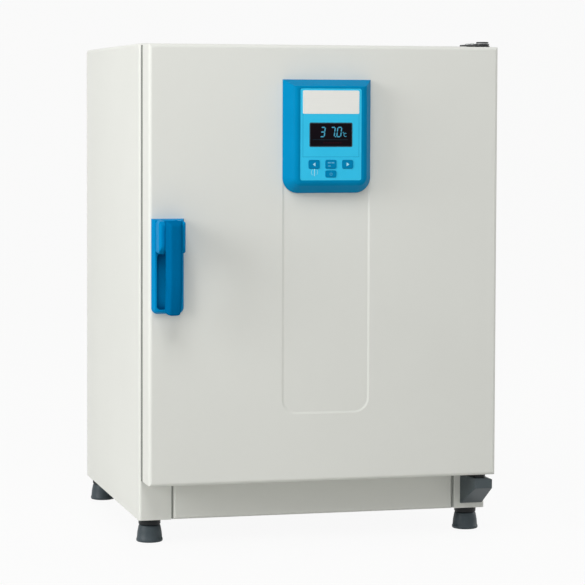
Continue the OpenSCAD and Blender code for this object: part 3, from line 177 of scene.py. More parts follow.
# That grain is finer than a tenth of a millimetre. It is shown at 4 mm, as a change of shine.
drawn = node(tree, "ShaderNodeTexNoise", puts={"Vector": where, "Scale": 1 / 0.004, "Detail": 2.0})
gloss = node(tree, "ShaderNodeMapRange", puts={"Value": drawn.outputs[0], "To Min": 0.14, "To Max": 0.26})
tone = node(tree, "ShaderNodeMix", sets={"data_type": "RGBA"}, puts={
    0: drawn.outputs[0], 6: linear("#CDCFD1"), 7: linear("#DEE0E2")})
tree.links.new(gloss.outputs[0], shader.inputs["Roughness"])
tree.links.new(tone.outputs[2], shader.inputs["Base Color"])
wear(polished_wire, "lower_shelf", "upper_shelf")


# The latch keeper, hook, lever pin, inlet pins and socket shell are turned or stamped steel, zinc plated.
# The plating is bright and silky, and clouds over a few millimetres.

zinc_plate, tree, shader, where = new_finish("zinc_plated_steel", "#B9BCBE", Metallic=1.0)
cloud = node(tree, "ShaderNodeTexNoise", puts={"Vector": where, "Scale": 1 / 0.006, "Detail": 3.0})
tone = node(tree, "ShaderNodeMix", sets={"data_type": "RGBA"}, puts={
    0: cloud.outputs[0], 6: linear("#ADB1B4"), 7: linear("#C6C7C4")})
gloss = node(tree, "ShaderNodeMapRange", puts={"Value": cloud.outputs[0], "To Min": 0.25, "To Max": 0.40})
tree.links.new(tone.outputs[2], shader.inputs["Base Color"])
tree.links.new(gloss.outputs[0], shader.inputs["Roughness"])
wear(zinc_plate, "latch_keeper", "latch_hook", "lever_pin", "inlet_pins", "data_socket")


# The hinge plate on the roof, the bracket on the right post and the hinge pins are thick steel, cut and
# turned, then coated in black powder. The coat is coarser than the white one and stands matt.

black_coat, tree, shader, where = new_finish("black_powder_coat", "#1B1D1F", Roughness=0.5)
# The grain is under a millimetre across, and is drawn at 1.5 mm to show.
grain = node(tree, "ShaderNodeTexNoise", puts={"Vector": where, "Scale": 1 / 0.0015, "Detail": 2.0})
edge = node(tree, "ShaderNodeBevel", sets={"samples": 4}, puts={"Radius": 0.0006})
bump = node(tree, "ShaderNodeBump", puts={
    "Height": grain.outputs[0], "Strength": 0.25, "Distance": 0.0003, "Normal": edge.outputs[0]})
tone = node(tree, "ShaderNodeMix", sets={"data_type": "RGBA"}, puts={
    0: grain.outputs[0], 6: linear("#17191B"), 7: linear("#222426")})
tree.links.new(tone.outputs[2], shader.inputs["Base Color"])
tree.links.new(bump.outputs[0], shader.inputs["Normal"])
wear(black_coat, "upper_hinge_plate", "lower_hinge_bracket", "hinge_pins")


# The rear panel and the hinge parts are held by pan head screws with a cross recess, zinc plated.
# One head is turned and its recess punched, and it is set at each place that the CAD screws have.

def solids_of(name):
    """The boxes of a CAD node's separate solids."""
    shape = bmesh.new()
    shape.from_mesh(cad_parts[name].data)
    bmesh.ops.remove_doubles(shape, verts=shape.verts, dist=1e-5)
    unmet, boxes = set(shape.verts), []
    while unmet:
        solid, front = set(), [unmet.pop()]
        while front:
            vert = front.pop()
            solid.add(vert)
            for other in (e.other_vert(vert) for e in vert.link_edges):
                if other in unmet:
                    unmet.discard(other)
                    front.append(other)
        corners = list(zip(*(v.co for v in solid)))
        boxes.append((Vector(map(min, corners)), Vector(map(max, corners))))
    shape.free()
    return sorted(boxes, key=lambda box: tuple(round(c, 4) for c in box[0]))


def middle(box):
    """The point halfway between the two corners of a box."""
    return (box[0] + box[1]) / 2


def new_piece(name, shape, finish, smooth=False, crease=math.radians(40)):
    """An object at the origin from a bmesh, with its finish. Edges past the crease stay sharp."""
    bmesh.ops.recalc_face_normals(shape, faces=shape.faces)
    mesh = bpy.data.meshes.new(name)
    shape.to_mesh(mesh)
    shape.free()
    mesh.materials.append(finish)
    for face in mesh.polygons:
        face.use_smooth = smooth
    if smooth:
        mesh.set_sharp_from_angle(angle=crease)
    made = bpy.data.objects.new(name, mesh)
    bpy.context.scene.collection.objects.link(made)
    return made


def settle(piece):
    """Makes the result of a piece's modifiers its plain mesh."""
    bpy.context.view_layer.update()
    solved = bpy.data.meshes.new_from_object(piece.evaluated_get(bpy.context.evaluated_depsgraph_get()))
    piece.modifiers.clear()
    piece.data = solved


def lathe(shape, profile, steps):
    """Turns a profile of radius and height round the Z axis. It ends on the axis or where it began."""
    rings = []
    for radius, height in profile:
        if rings and (radius, height) == profile[0]:
            rings.append(rings[0])
        elif radius == 0:
            rings.append([shape.verts.new((0, 0, height))] * steps)
        else:
            rings.append([shape.verts.new((
                radius * math.cos(math.tau * k / steps), radius * math.sin(math.tau * k / steps), height))
                for k in range(steps)])
    for low, high in zip(rings, rings[1:]):
        for k in range(steps):
            corners = [low[k], low[(k + 1) % steps], high[(k + 1) % steps], high[k]]
            shape.faces.new(list(dict.fromkeys(corners)))


def scatter(name, shape, places, turn, finish):
    """A plain mesh of one shape set at many places by Geometry Nodes, with named inputs."""
    tree = bpy.data.node_groups.new(name + "_nodes", "GeometryNodeTree")
    sockets = {}
    for label, kind in (("Places", "NodeSocketGeometry"), ("Shape", "NodeSocketObject"),
                        ("Turn", "NodeSocketRotation"), ("Finish", "NodeSocketMaterial")):
        sockets[label] = tree.interface.new_socket(label, in_out="INPUT", socket_type=kind).identifier
    tree.interface.new_socket("Geometry", in_out="OUTPUT", socket_type="NodeSocketGeometry")
    given = node(tree, "NodeGroupInput").outputs
    one = node(tree, "GeometryNodeObjectInfo", puts={"Object": given["Shape"], "As Instance": True})
    many = node(tree, "GeometryNodeInstanceOnPoints", puts={
        "Points": given["Places"], "Instance": one.outputs["Geometry"], "Rotation": given["Turn"]})
    real = node(tree, "GeometryNodeRealizeInstances", puts={0: many.outputs[0]})
    dressed = node(tree, "GeometryNodeSetMaterial", puts={0: real.outputs[0], "Material": given["Finish"]})
    node(tree, "NodeGroupOutput", puts={0: dressed.outputs[0]})
    points = bpy.data.meshes.new(name + "_places")
    points.from_pydata([tuple(p) for p in places], [], [])
    made = bpy.data.objects.new(name, points)
    bpy.context.scene.collection.objects.link(made)
    maker = made.modifiers.new("set", "NODES")
    maker.node_group = tree
    maker[sockets["Shape"]] = shape
    maker[sockets["Turn"]] = turn
    maker[sockets["Finish"]] = finish
    settle(made)
    return made


def scatter_groups(name, one, groups, finish, smooth=False):
    """One piece from several groups of places, each group with a turn of its own."""
    shape = bmesh.new()
    for places, turn in groups:
        group = scatter(name + "_group", one, places, turn, finish)
        shape.from_mesh(group.data)
        bpy.data.objects.remove(group)
    return new_piece(name, shape, finish, smooth)


head_r, head_h = 0.0044, 0.0024
recess_deep, recess_l, recess_w, recess_taper = 0.0011, 0.0044, 0.0009, 0.55
shape = bmesh.new()
lathe(shape, [(0, 0), (head_r, 0), (head_r, 0.0006), (head_r * 0.93, 0.0013), (head_r * 0.72, 0.0020),
              (head_r * 0.40, head_h), (0, head_h)], 24)
screw_head = new_piece("screw_head", shape, zinc_plate, smooth=True)
shape = bmesh.new()
for size_x, size_y in ((recess_l, recess_w), (recess_w, recess_l)):
    for v in bmesh.ops.create_cube(shape, size=1.0)["verts"]:
        taper = recess_taper if v.co.z < 0 else 1.0
        v.co = Vector((v.co.x * size_x * taper, v.co.y * size_y, head_h + v.co.z * 2 * recess_deep))
cross = new_piece("cross_cutter", shape, zinc_plate)
cut = screw_head.modifiers.new("recess", "BOOLEAN")
cut.object, cut.operation, cut.solver, cut.use_self = cross, "DIFFERENCE", "EXACT", True
settle(screw_head)
bpy.data.objects.remove(cross)

# A turn's first angle lays the head on its face, and its last is where the driver happened to stop.
rear_turn, plate_turn, bracket_turn = (-math.pi / 2, 0.0, 0.6), (0.0, 0.0, 0.4), (math.pi / 2, 0.0, 0.3)
rear_places = [(middle(box).x, box[1].y - head_h, middle(box).z) for box in solids_of("rear_screws")]
rear_screws = scatter("rear_pan_screws", screw_head, rear_places, rear_turn, zinc_plate)
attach(rear_screws, "cabinet")
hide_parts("rear_screws")
half_way_up = 0.5
plate_places, bracket_places = [], []
for box in solids_of("hinge_screws"):
    if box[1].z > half_way_up:
        plate_places.append((middle(box).x, middle(box).y, box[1].z - head_h))
    else:
        bracket_places.append((middle(box).x, box[0].y + head_h, middle(box).z))
hinge_screws = scatter_groups("hinge_pan_screws", screw_head, (
    (plate_places, plate_turn), (bracket_places, bracket_turn)), zinc_plate)
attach(hinge_screws, "cabinet")
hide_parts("hinge_screws")
bpy.data.objects.remove(screw_head)


# A bright washer cup is pressed round the foot of the upper hinge pin's head, and lies on the hinge plate.
# It is stamped from zinc plated steel, and shows as a light line under the dark head.

cup_gap, cup_w, cup_h, cup_edge = 0.00002, 0.0009, 0.0006, 0.0002
head_box = max(solids_of("hinge_pins"), key=lambda box: box[1].z)
pin_head_r = (head_box[1].x - head_box[0].x) / 2
cup_in, cup_out = pin_head_r + cup_gap, pin_head_r + cup_w
shape = bmesh.new()
lathe(shape, [(cup_in, 0), (cup_out, 0), (cup_out, cup_h / 2), (cup_out - cup_edge, cup_h), (cup_in, cup_h),
              (cup_in, 0)], 48)
bmesh.ops.translate(shape, verts=shape.verts, vec=(
    middle(head_box).x, middle(head_box).y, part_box("upper_hinge_plate")[1].z))
washer = new_piece("hinge_pin_washer", shape, zinc_plate)
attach(washer, "cabinet")


# The cover of the lower hinge and the feet are injection moulded in slate grey glass filled nylon.
# The mould is spark eroded, so the skin is a fine even grain without much shine. The feet are darker.

slates = {}
for name, colour, low, high in (("slate_nylon_cover", "#4C5559", "#464F53", "#525B5F"),
                                ("slate_nylon_feet", "#3F494E", "#39434A", "#465054")):
    slates[name], tree, shader, where = new_finish(
        name, colour, Roughness=0.45, IOR=1.53, Specular_IOR_Level=0.25)
    # Spark erosion leaves pits of a third of a millimetre. They are drawn at 1 mm to show.
    pits = node(tree, "ShaderNodeTexNoise", puts={"Vector": where, "Scale": 1 / 0.001, "Detail": 2.0})
    edge = node(tree, "ShaderNodeBevel", sets={"samples": 4}, puts={"Radius": 0.0008})
    bump = node(tree, "ShaderNodeBump", puts={
        "Height": pits.outputs[0], "Strength": 0.2, "Distance": 0.0002, "Normal": edge.outputs[0]})
    tone = node(tree, "ShaderNodeMix", sets={"data_type": "RGBA"}, puts={
        0: pits.outputs[0], 6: linear(low), 7: linear(high)})
    tree.links.new(tone.outputs[2], shader.inputs["Base Color"])
    tree.links.new(bump.outputs[0], shader.inputs["Normal"])
wear(slates["slate_nylon_cover"], "lower_hinge_cover")


# A foot is a blunt cone moulded round a threaded stud, which screws into the base plate for levelling.
# It stands on an upright band with a soft edge, and has a rounded shoulder close under its collar.

shoulder_r, stud_r, band_h, collar_gap = 0.0161, 0.0050, 0.0046, 0.0003
shoulder_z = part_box("foot_collars")[0].z - collar_gap
for foot in ("front_left_foot", "front_right_foot", "rear_left_foot", "rear_right_foot"):
    lo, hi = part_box(foot)
    rim_r = (hi.x - lo.x) / 2
    # The profile goes from the sole over its soft edge, up the band, cone and shoulder to the stud.
    shape = bmesh.new()
    lathe(shape, [
        (0, 0), (rim_r - 0.0018, 0), (rim_r - 0.0008, 0.0003), (rim_r - 0.0002, 0.0010), (rim_r, 0.0018),
        (rim_r, band_h - 0.0008), (rim_r - 0.0003, band_h), (rim_r - 0.0008, band_h + 0.0006),
        (shoulder_r + 0.0019, shoulder_z * 0.55), (shoulder_r + 0.0002, shoulder_z - 0.0022),
        (shoulder_r - 0.0002, shoulder_z - 0.0009), (shoulder_r - 0.0010, shoulder_z - 0.0002),
        (shoulder_r - 0.0020, shoulder_z), (stud_r, shoulder_z), (stud_r, hi.z), (0, hi.z)], 64)
    bmesh.ops.translate(shape, verts=shape.verts, vec=((lo.x + hi.x) / 2, (lo.y + hi.y) / 2, 0))
    cone = new_piece(foot + "_cone", shape, slates["slate_nylon_feet"], smooth=True)
    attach(cone, foot)
    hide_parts(foot)


# Foot collars, hinge bushes, mains inlet, glass catch and display module are moulded in black nylon.
# It has the same eroded grain as the feet, drawn as coarse, only darker and a little smoother.

black_moulding, tree, shader, where = new_finish(
    "black_moulded_nylon", "#1E2023", Roughness=0.42, IOR=1.53, Specular_IOR_Level=0.2)
pits = node(tree, "ShaderNodeTexNoise", puts={"Vector": where, "Scale": 1 / 0.001, "Detail": 2.0})
bump = node(tree, "ShaderNodeBump", puts={"Height": pits.outputs[0], "Strength": 0.15, "Distance": 0.0002})
tone = node(tree, "ShaderNodeMix", sets={"data_type": "RGBA"}, puts={
    0: pits.outputs[0], 6: linear("#191B1D"), 7: linear("#24272A")})
tree.links.new(tone.outputs[2], shader.inputs["Base Color"])
tree.links.new(bump.outputs[0], shader.inputs["Normal"])
wear(black_moulding, "foot_collars", "hinge_bushes", "mains_inlet", "glass_catch", "display_module")


# The data socket's steel shell holds a black insert with nine contact holes in two rows.
# The insert is pressed in from behind, and a hexagonal post at each side takes the plug's screws.

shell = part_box("data_socket")
socket, rim_y = middle(shell), shell[1].y
half_w, half_h, insert_lean, insert_t, insert_deep = 0.0080, 0.0035, 0.0009, 0.0012, 0.0045
insert_y = rim_y - insert_deep
shape = bmesh.new()
outline = [(-half_w, half_h), (half_w, half_h), (half_w - insert_lean, -half_h),
           (insert_lean - half_w, -half_h)]
for depth in (insert_y - insert_t, insert_y):
    shape.faces.new([shape.verts.new((socket.x + x, depth, socket.z + z)) for x, z in outline])
shape.verts.ensure_lookup_table()
for k in range(4):
    shape.faces.new([shape.verts[i] for i in (k, (k + 1) % 4, 4 + (k + 1) % 4, 4 + k)])
insert = new_piece("data_socket_insert", shape, black_moulding)
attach(insert, "cabinet")

facing_back = (-math.pi / 2, 0.0, 0.0)
bore_r, contact_r, contact_h, contact_sunk, pitch, row_z = 0.00035, 0.0006, 0.0009, 0.0002, 0.00277, 0.00142
shape = bmesh.new()
lathe(shape, [(bore_r, 0), (contact_r, 0), (contact_r, contact_h), (bore_r, contact_h), (bore_r, 0)], 12)
contact = new_piece("contact", shape, zinc_plate, smooth=True)
contact_y = insert_y - contact_sunk
contact_places = [(socket.x + (k - (count - 1) / 2) * pitch, contact_y, socket.z + side * row_z)
                  for count, side in ((5, 1), (4, -1)) for k in range(count)]
contacts = scatter("data_socket_contacts", contact, contact_places, facing_back, zinc_plate)
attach(contacts, "cabinet")
bpy.data.objects.remove(contact)

post_r, post_edge, post_bore, bore_floor, post_x = 0.0026, 0.0004, 0.0011, 0.001, 0.0125
flange_deep, shell_back = 0.005, 0.0135
post_h = rim_y - shell[0].y - shell_back
shape = bmesh.new()
lathe(shape, [(0, 0), (post_r, 0), (post_r, post_h - post_edge), (post_r - post_edge, post_h),
              (post_bore, post_h), (post_bore, bore_floor), (0, bore_floor)], 6)
post = new_piece("screw_post", shape, zinc_plate)
post_places = [(socket.x + side * post_x, rim_y - flange_deep, socket.z) for side in (-1, 1)]
posts = scatter("data_socket_posts", post, post_places, facing_back, zinc_plate)
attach(posts, "cabinet")
bpy.data.objects.remove(post)


# The inner door is one pane of float glass, ground along its edges, clamped between stainless hinges.
# Float glass is clear with a green cast, and its face waves by a hair's breadth.

float_glass, tree, shader, where = new_finish(
    "float_glass", "#EAF5F0", IOR=1.52, Transmission_Weight=1.0)
waves = node(tree, "ShaderNodeTexNoise", puts={"Vector": where, "Scale": 1 / 0.2, "Detail": 1.0})
gloss = node(tree, "ShaderNodeMapRange", puts={"Value": waves.outputs[0], "To Min": 0.0, "To Max": 0.04})
tree.links.new(gloss.outputs[0], shader.inputs["Roughness"])
wear(float_glass, "glass_pane")


# The pull on the glass is milled from aluminium and anodised in its natural silver.
# Blasting before the anodising gives it an even silk.

anodised, tree, shader, where = new_finish("anodised_aluminium", "#C4C7CA", Metallic=1.0, Roughness=0.36)
# Blast marks are a tenth of a millimetre across. They are drawn at 0.8 mm to show.
blast = node(tree, "ShaderNodeTexNoise", puts={"Vector": where, "Scale": 1 / 0.0008, "Detail": 1.0})
bump = node(tree, "ShaderNodeBump", puts={"Height": blast.outputs[0], "Strength": 0.1, "Distance": 0.0001})
tree.links.new(bump.outputs[0], shader.inputs["Normal"])
wear(anodised, "glass_pull")


# The door seal is a hollow bulb of grey silicone rubber, extruded, mitred and vulcanised into a ring.
# The seal under the glass is the same rubber in a flat strip. Silicone is matt and gathers a little dust.

silicone, tree, shader, where = new_finish("grey_silicone_rubber", "#6E716B", Roughness=0.7, IOR=1.41)
dust = node(tree, "ShaderNodeTexNoise", puts={"Vector": where, "Scale": 1 / 0.01, "Detail": 4.0})
tone = node(tree, "ShaderNodeMix", sets={"data_type": "RGBA"}, puts={
    0: dust.outputs[0], 6: linear("#666963"), 7: linear("#777A74")})
gloss = node(tree, "ShaderNodeMapRange", puts={"Value": dust.outputs[0], "To Min": 0.6, "To Max": 0.8})
tree.links.new(tone.outputs[2], shader.inputs["Base Color"])
tree.links.new(gloss.outputs[0], shader.inputs["Roughness"])
wear(silicone, "door_seal", "glass_seal")


# A lip of the same rubber is clipped over the door's rear edge on the latch side and closes the gap. It is
# painted shade: its grey stands in for the shade inside the gap between door and housing.
# It is extruded with a thin soft edge, which stays half a millimetre off the housing's front.

def strand(name, section, low, high, finish, body):
    """An upright strand of rubber or sealant, from its section of X and Y."""
    shape = bmesh.new()
    ends = [[shape.verts.new((x, y, z)) for x, y in section] for z in (low, high)]
    shape.faces.new(ends[0])
    shape.faces.new(ends[1][::-1])
    for k in range(len(section)):
        n = (k + 1) % len(section)
        shape.faces.new([ends[0][n], ends[0][k], ends[1][k], ends[1][n]])
    made = new_piece(name, shape, finish)
    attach(made, body)


skin_lo, skin_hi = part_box("door_skin")
end_gap = 0.001
gap_shade_section = [(-0.0004, -0.0030), (0.0, -0.0032), (0.0, 0.0), (0.0036, 0.0), (0.0030, 0.0030),
               (0.0018, 0.0052), (0.0006, 0.0054), (-0.0004, 0.0048)]
strand("latch_side_lip", [(skin_lo.x + x, skin_hi.y + y) for x, y in gap_shade_section],
       skin_lo.z + end_gap, skin_hi.z - end_gap, silicone, "door")


# The joint at each end of the lower panel is filled with a bead of pale grey sealant.
# It is gunned in from behind and stays a little below the face, with a smoothed, slightly uneven skin.

sealant, tree, shader, where = new_finish("grey_joint_sealant", "#A6A9A5", Roughness=0.6)
smear = node(tree, "ShaderNodeTexNoise", puts={"Vector": where, "Scale": 1 / 0.012, "Detail": 3.0})
tone = node(tree, "ShaderNodeMix", sets={"data_type": "RGBA"}, puts={
    0: smear.outputs[0], 6: linear("#9EA19D"), 7: linear("#AEB1AD")})
tree.links.new(tone.outputs[2], shader.inputs["Base Color"])
panel_lo, panel_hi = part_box("lower_front_panel")
joint_w, bead_gap, bead_t, bead_dip = 0.0026, 0.0001, 0.003, 0.0004
for name, x, sunk in (("left_joint_bead", panel_lo.x - joint_w, 0.0016),
                      ("right_joint_bead", panel_hi.x, 0.0007)):
    near, far, face_y = x + bead_gap, x + joint_w - bead_gap, panel_lo.y + sunk
    section = [(near, face_y + bead_t), (near, face_y), (x + joint_w / 2, face_y + bead_dip), (far, face_y),
               (far, face_y + bead_t)]
    strand(name, section, panel_lo.z + end_gap, panel_hi.z - end_gap, sealant, "cabinet")


# Two blocks inside the door take the hinge bushes. They are sawn from flat steel bar, bored and welded in.
# No one sees them, so they keep the saw's level marks, which lie about a millimetre apart.

sawn_steel, tree, shader, where = new_finish("sawn_steel", "#8F9396", Metallic=1.0)
saw = node(tree, "ShaderNodeTexWave", sets={"bands_direction": "Z"}, puts={
    "Vector": where, "Scale": 1 / 0.004, "Distortion": 2.0})
gloss = node(tree, "ShaderNodeMapRange", puts={"Value": saw.outputs[1], "To Min": 0.35, "To Max": 0.55})
tree.links.new(gloss.outputs[0], shader.inputs["Roughness"])
wear(sawn_steel, "hinge_blocks")


# The control housing, the handle base and the lever are injection moulded in blue ABS.
# The tools have a fine eroded grain, so the blue stands almost matt, with soft light on its leaning edges.
# The three are given different blues: the handle base is the lightest and the lever the deepest.

blues = {}
# The fifth colour of each is the painted shade that darkens its hollows.
for name, colour, low, high, shade_tone, shine, piece in (
        ("blue_abs_housing", "#0088BC", "#0084B7", "#008CC1", "#007CAC", 0.02, "control_housing"),
        ("blue_abs_handle", "#008AC6", "#0086C1", "#008ECB", "#005C92", 0.015, "handle_base"),
        ("blue_abs_lever", "#006AA0", "#00669B", "#006EA5", "#006094", 0.0, "handle_lever")):
    blues[piece], tree, shader, where = new_finish(name, colour, IOR=1.54, Specular_IOR_Level=shine)
    # The grain's pits are a third of a millimetre across. They are drawn at 1 mm to show.
    pits = node(tree, "ShaderNodeTexNoise", puts={"Vector": where, "Scale": 1 / 0.001, "Detail": 2.0})
    edge = node(tree, "ShaderNodeBevel", sets={"samples": 4}, puts={"Radius": 0.001})
    bump = node(tree, "ShaderNodeBump", puts={
        "Height": pits.outputs[0], "Strength": 0.12, "Distance": 0.0002, "Normal": edge.outputs[0]})
    drift = node(tree, "ShaderNodeTexNoise", puts={"Vector": where, "Scale": 1 / 0.05, "Detail": 2.0})
    tone = node(tree, "ShaderNodeMix", sets={"data_type": "RGBA"}, puts={
        0: drift.outputs[0], 6: linear(low), 7: linear(high)})
    # Painted shade: hollows are drawn a shade darker than open faces, up to 18 mm from their walls, where
    # shade falls.
    hollow_shade = node(tree, "ShaderNodeAmbientOcclusion", sets={"samples": 8, "only_local": True}, puts={
        "Distance": 0.018})
    unshaded_share = node(tree, "ShaderNodeMapRange", puts={
        "Value": hollow_shade.outputs["AO"], "From Min": 0.45, "From Max": 0.95})
    tone = node(tree, "ShaderNodeMix", sets={"data_type": "RGBA"}, puts={
        0: unshaded_share.outputs[0], 6: linear(shade_tone), 7: tone.outputs[2]})
    gloss = node(tree, "ShaderNodeMapRange", puts={
        "Value": drift.outputs[0], "To Min": 0.30, "To Max": 0.38})
    tree.links.new(tone.outputs[2], shader.inputs["Base Color"])
    tree.links.new(gloss.outputs[0], shader.inputs["Roughness"])
    tree.links.new(bump.outputs[0], shader.inputs["Normal"])
    wear(blues[piece], piece)


# The lever is moulded thick for the fingers, with all its edges well rounded and its lower end curved back.
# It keeps the CAD lever's form: a copy is closed anew in fine steps, and rubbed smooth outside its hub.

lever_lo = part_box("handle_lever")[0]
pin_lo, pin_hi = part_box("lever_pin")
pin_y, pin_z, pin_r = (pin_lo.y + pin_hi.y) / 2, (pin_lo.z + pin_hi.z) / 2, (pin_hi.z - pin_lo.z) / 2
fine_step, rubs, rub, grip_t, hub_low = 0.0006, 40, 0.5, 0.013, 0.018
lever_bore_r, bore_reach = pin_r + 0.0003, pin_r + 0.0006
shape = bmesh.new()
shape.from_mesh(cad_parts["handle_lever"].data)
bmesh.ops.remove_doubles(shape, verts=shape.verts, dist=1e-6)
lever = new_piece("rounded_lever", shape, blues["handle_lever"], smooth=True)
closing = lever.modifiers.new("closing", "REMESH")
closing.mode, closing.voxel_size, closing.use_smooth_shade = "VOXEL", fine_step, True
settle(lever)
shape = bmesh.new()
shape.from_mesh(lever.data)
grip = [v for v in shape.verts if v.co.y < lever_lo.y + grip_t or v.co.z < pin_z - hub_low]
for _ in range(rubs):
    bmesh.ops.smooth_vert(shape, verts=grip, factor=rub, use_axis_x=True, use_axis_y=True, use_axis_z=True)
# The bore is drawn round again, just clear of its pin.
for v in shape.verts:
    away = math.hypot(v.co.y - pin_y, v.co.z - pin_z)
    if away < bore_reach:
        v.co.y = pin_y + (v.co.y - pin_y) * lever_bore_r / away
        v.co.z = pin_z + (v.co.z - pin_z) * lever_bore_r / away
shape.to_mesh(lever.data)
shape.free()
lever.data.materials.clear()
lever.data.materials.append(blues["handle_lever"])
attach(lever, "lever")
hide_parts("handle_lever")


# A plug of the same blue closes the bore at each end of the lever's pin, flush with the cheek.
# The plugs are moulded with a shallow dome and pressed in.

plug_back, plug_rim, plug_top = -0.0003, 0.0008, 0.0010
shape = bmesh.new()
lathe(shape, [(0, plug_back), (pin_r, plug_back), (pin_r, plug_rim), (pin_r * 0.9, plug_top * 0.98),
              (pin_r * 0.5, plug_top), (0, plug_top)], 32)
bmesh.ops.rotate(shape, verts=shape.verts, cent=(0, 0, 0), matrix=Matrix.Rotation(math.pi / 2, 3, "Y"))
plug = new_piece("pin_plug", shape, blues["handle_base"], smooth=True)
plugs = scatter_groups("lever_pin_plugs", plug, (
    ([(pin_lo.x, pin_y, pin_z)], (0.0, 0.0, math.pi)),
    ([(pin_hi.x, pin_y, pin_z)], (0.0, 0.0, 0.0))), blues["handle_base"], smooth=True)
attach(plugs, "door")
bpy.data.objects.remove(plug)


# The keypad foil is polyester film, printed light blue on its back and stuck into the housing's recess.
# Its face is embossed with a fine velvet grain. A darker line frames the display's field.

keypad_film, tree, shader, where = new_finish(
    "printed_polyester_film", "#3ACCF8", Roughness=0.38, IOR=1.57, Specular_IOR_Level=0.05)
# The grain is a tenth of a millimetre across. It is drawn at 0.8 mm to show.
velvet = node(tree, "ShaderNodeTexNoise", puts={"Vector": where, "Scale": 1 / 0.0008, "Detail": 1.0})
bump = node(tree, "ShaderNodeBump", puts={"Height": velvet.outputs[0], "Strength": 0.1, "Distance": 0.0001})
drift = node(tree, "ShaderNodeTexNoise", puts={"Vector": where, "Scale": 1 / 0.04, "Detail": 1.0})
tone = node(tree, "ShaderNodeMix", sets={"data_type": "RGBA"}, puts={
    0: drift.outputs[0], 6: linear("#36C8F4"), 7: linear("#3ED0FC")})
tree.links.new(tone.outputs[2], shader.inputs["Base Color"])
tree.links.new(bump.outputs[0], shader.inputs["Normal"])
wear(keypad_film, "keypad_foil")


def printed(name, outlines, face_y, ink, body, thick=0.00006):
    """Shapes of X and Z in millimetres, raised by a film of ink from a face that looks to the front."""
    shape = bmesh.new()
    for outline in outlines:
        shape.faces.new([shape.verts.new((x / 1000, face_y, z / 1000)) for x, z in outline])
    bmesh.ops.remove_doubles(shape, verts=shape.verts, dist=1e-6)
    raised = bmesh.ops.extrude_face_region(shape, geom=shape.faces[:])["geom"]
    bmesh.ops.translate(shape, verts=[v for v in raised if isinstance(v, bmesh.types.BMVert)],
                        vec=(0, -thick, 0))
    made = new_piece(name, shape, ink)
    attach(made, body)


def bar(x0, z0, x1, z1):
    """The outline of a plain bar between two corners."""
    return [(x0, z0), (x1, z0), (x1, z1), (x0, z1)]


def arc(x, z, inner, outer, start, end, steps):
    """Quads along a round line, from one angle in degrees to another."""
    angles = [math.radians(start + (end - start) * k / steps) for k in range(steps + 1)]
    near = [(x + inner * math.cos(a), z + inner * math.sin(a)) for a in angles]
    far = [(x + outer * math.cos(a), z + outer * math.sin(a)) for a in angles]
    return [[near[k], far[k], far[k + 1], near[k + 1]] for k in range(steps)]


inks = {}
for name, colour, low, high in (("deep_blue_screen_ink", "#1B8FC0", "#1788B8", "#2096C8"),
                                ("mid_blue_screen_ink", "#64B9DE", "#5CB3DA", "#6CBFE2"),
                                ("pale_blue_screen_ink", "#B4E8FA", "#ACE2F6", "#BCEEFE"),
                                ("slate_screen_ink", "#3C4C55", "#374750", "#41515A")):
    # Screen printing lays the ink in a weave of about 0.3 mm. It is drawn at 1.5 mm as a faint mottle.
    inks[name], tree, shader, where = new_finish(name, colour, Roughness=0.45, Specular_IOR_Level=0.05)
    mottle = node(tree, "ShaderNodeTexNoise", puts={"Vector": where, "Scale": 1 / 0.0015, "Detail": 1.0})
    tone = node(tree, "ShaderNodeMix", sets={"data_type": "RGBA"}, puts={
        0: mottle.outputs[0], 6: linear(low), 7: linear(high)})
    tree.links.new(tone.outputs[2], shader.inputs["Base Color"])
deep_ink, mid_ink, pale_ink, frame_ink = inks.values()

foil_lo, foil_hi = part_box("keypad_foil")
foil_y, foil_top = foil_lo.y, foil_hi.z * 1000
field_x, field_top, field_low, line_w = 42.0, foil_top - 37.0, foil_top - 98.0, 0.45
field_line = [(-field_x, field_top), (-field_x, field_low - line_w), (field_x, field_low - line_w),
              (field_x, field_top), (field_x - line_w, field_top), (field_x - line_w, field_low),
              (line_w - field_x, field_low), (line_w - field_x, field_top)]
printed("display_field_line", [field_line], foil_y, deep_ink, "door")

# A sign for warmth stands under the left key: an upright line between two round ones.
sign_x, sign_z, stem_half, stem_low, stem_top = -24.4, foil_top - 120.4, 0.5, 5.4, 5.0
round_r, round_x, left_w, right_w = 6.0, 1.6, 0.5, 0.4
warmth = [bar(sign_x - stem_half, sign_z - stem_low, sign_x + stem_half, sign_z + stem_top)]
warmth += arc(sign_x + round_x, sign_z, round_r, round_r + left_w, 140, 220, 12)
warmth += arc(sign_x - round_x, sign_z, round_r, round_r + right_w, -36, 36, 12)
printed("warmth_sign", warmth, foil_y, pale_ink, "door")


# The label plate above the display is a blank of thin coated aluminium, stuck on the foil.
# It is left bare. The coat is a satin white with a trace of rolling grain.

coated_blank, tree, shader, where = new_finish("white_coated_aluminium", "#F3F3EF", Roughness=0.4)
# Rolling marks are finer than a tenth of a millimetre. They are drawn 1 mm high and 5 cm long to show.
along = node(tree, "ShaderNodeMapping", puts={"Vector": where, "Scale": (20.0, 20.0, 1 / 0.001)})
roll = node(tree, "ShaderNodeTexNoise", puts={"Vector": along.outputs[0], "Scale": 1.0, "Detail": 2.0})
tone = node(tree, "ShaderNodeMix", sets={"data_type": "RGBA"}, puts={
    0: roll.outputs[0], 6: linear("#F0F0EC"), 7: linear("#F6F6F2")})
tree.links.new(tone.outputs[2], shader.inputs["Base Color"])
wear(coated_blank, "label_plate")


# The display window is smoked acrylic, cut flush with the foil. Behind it a vacuum fluorescent tube
# shows the temperature in slanted seven bar figures, blue green and bright enough to pass the smoke.

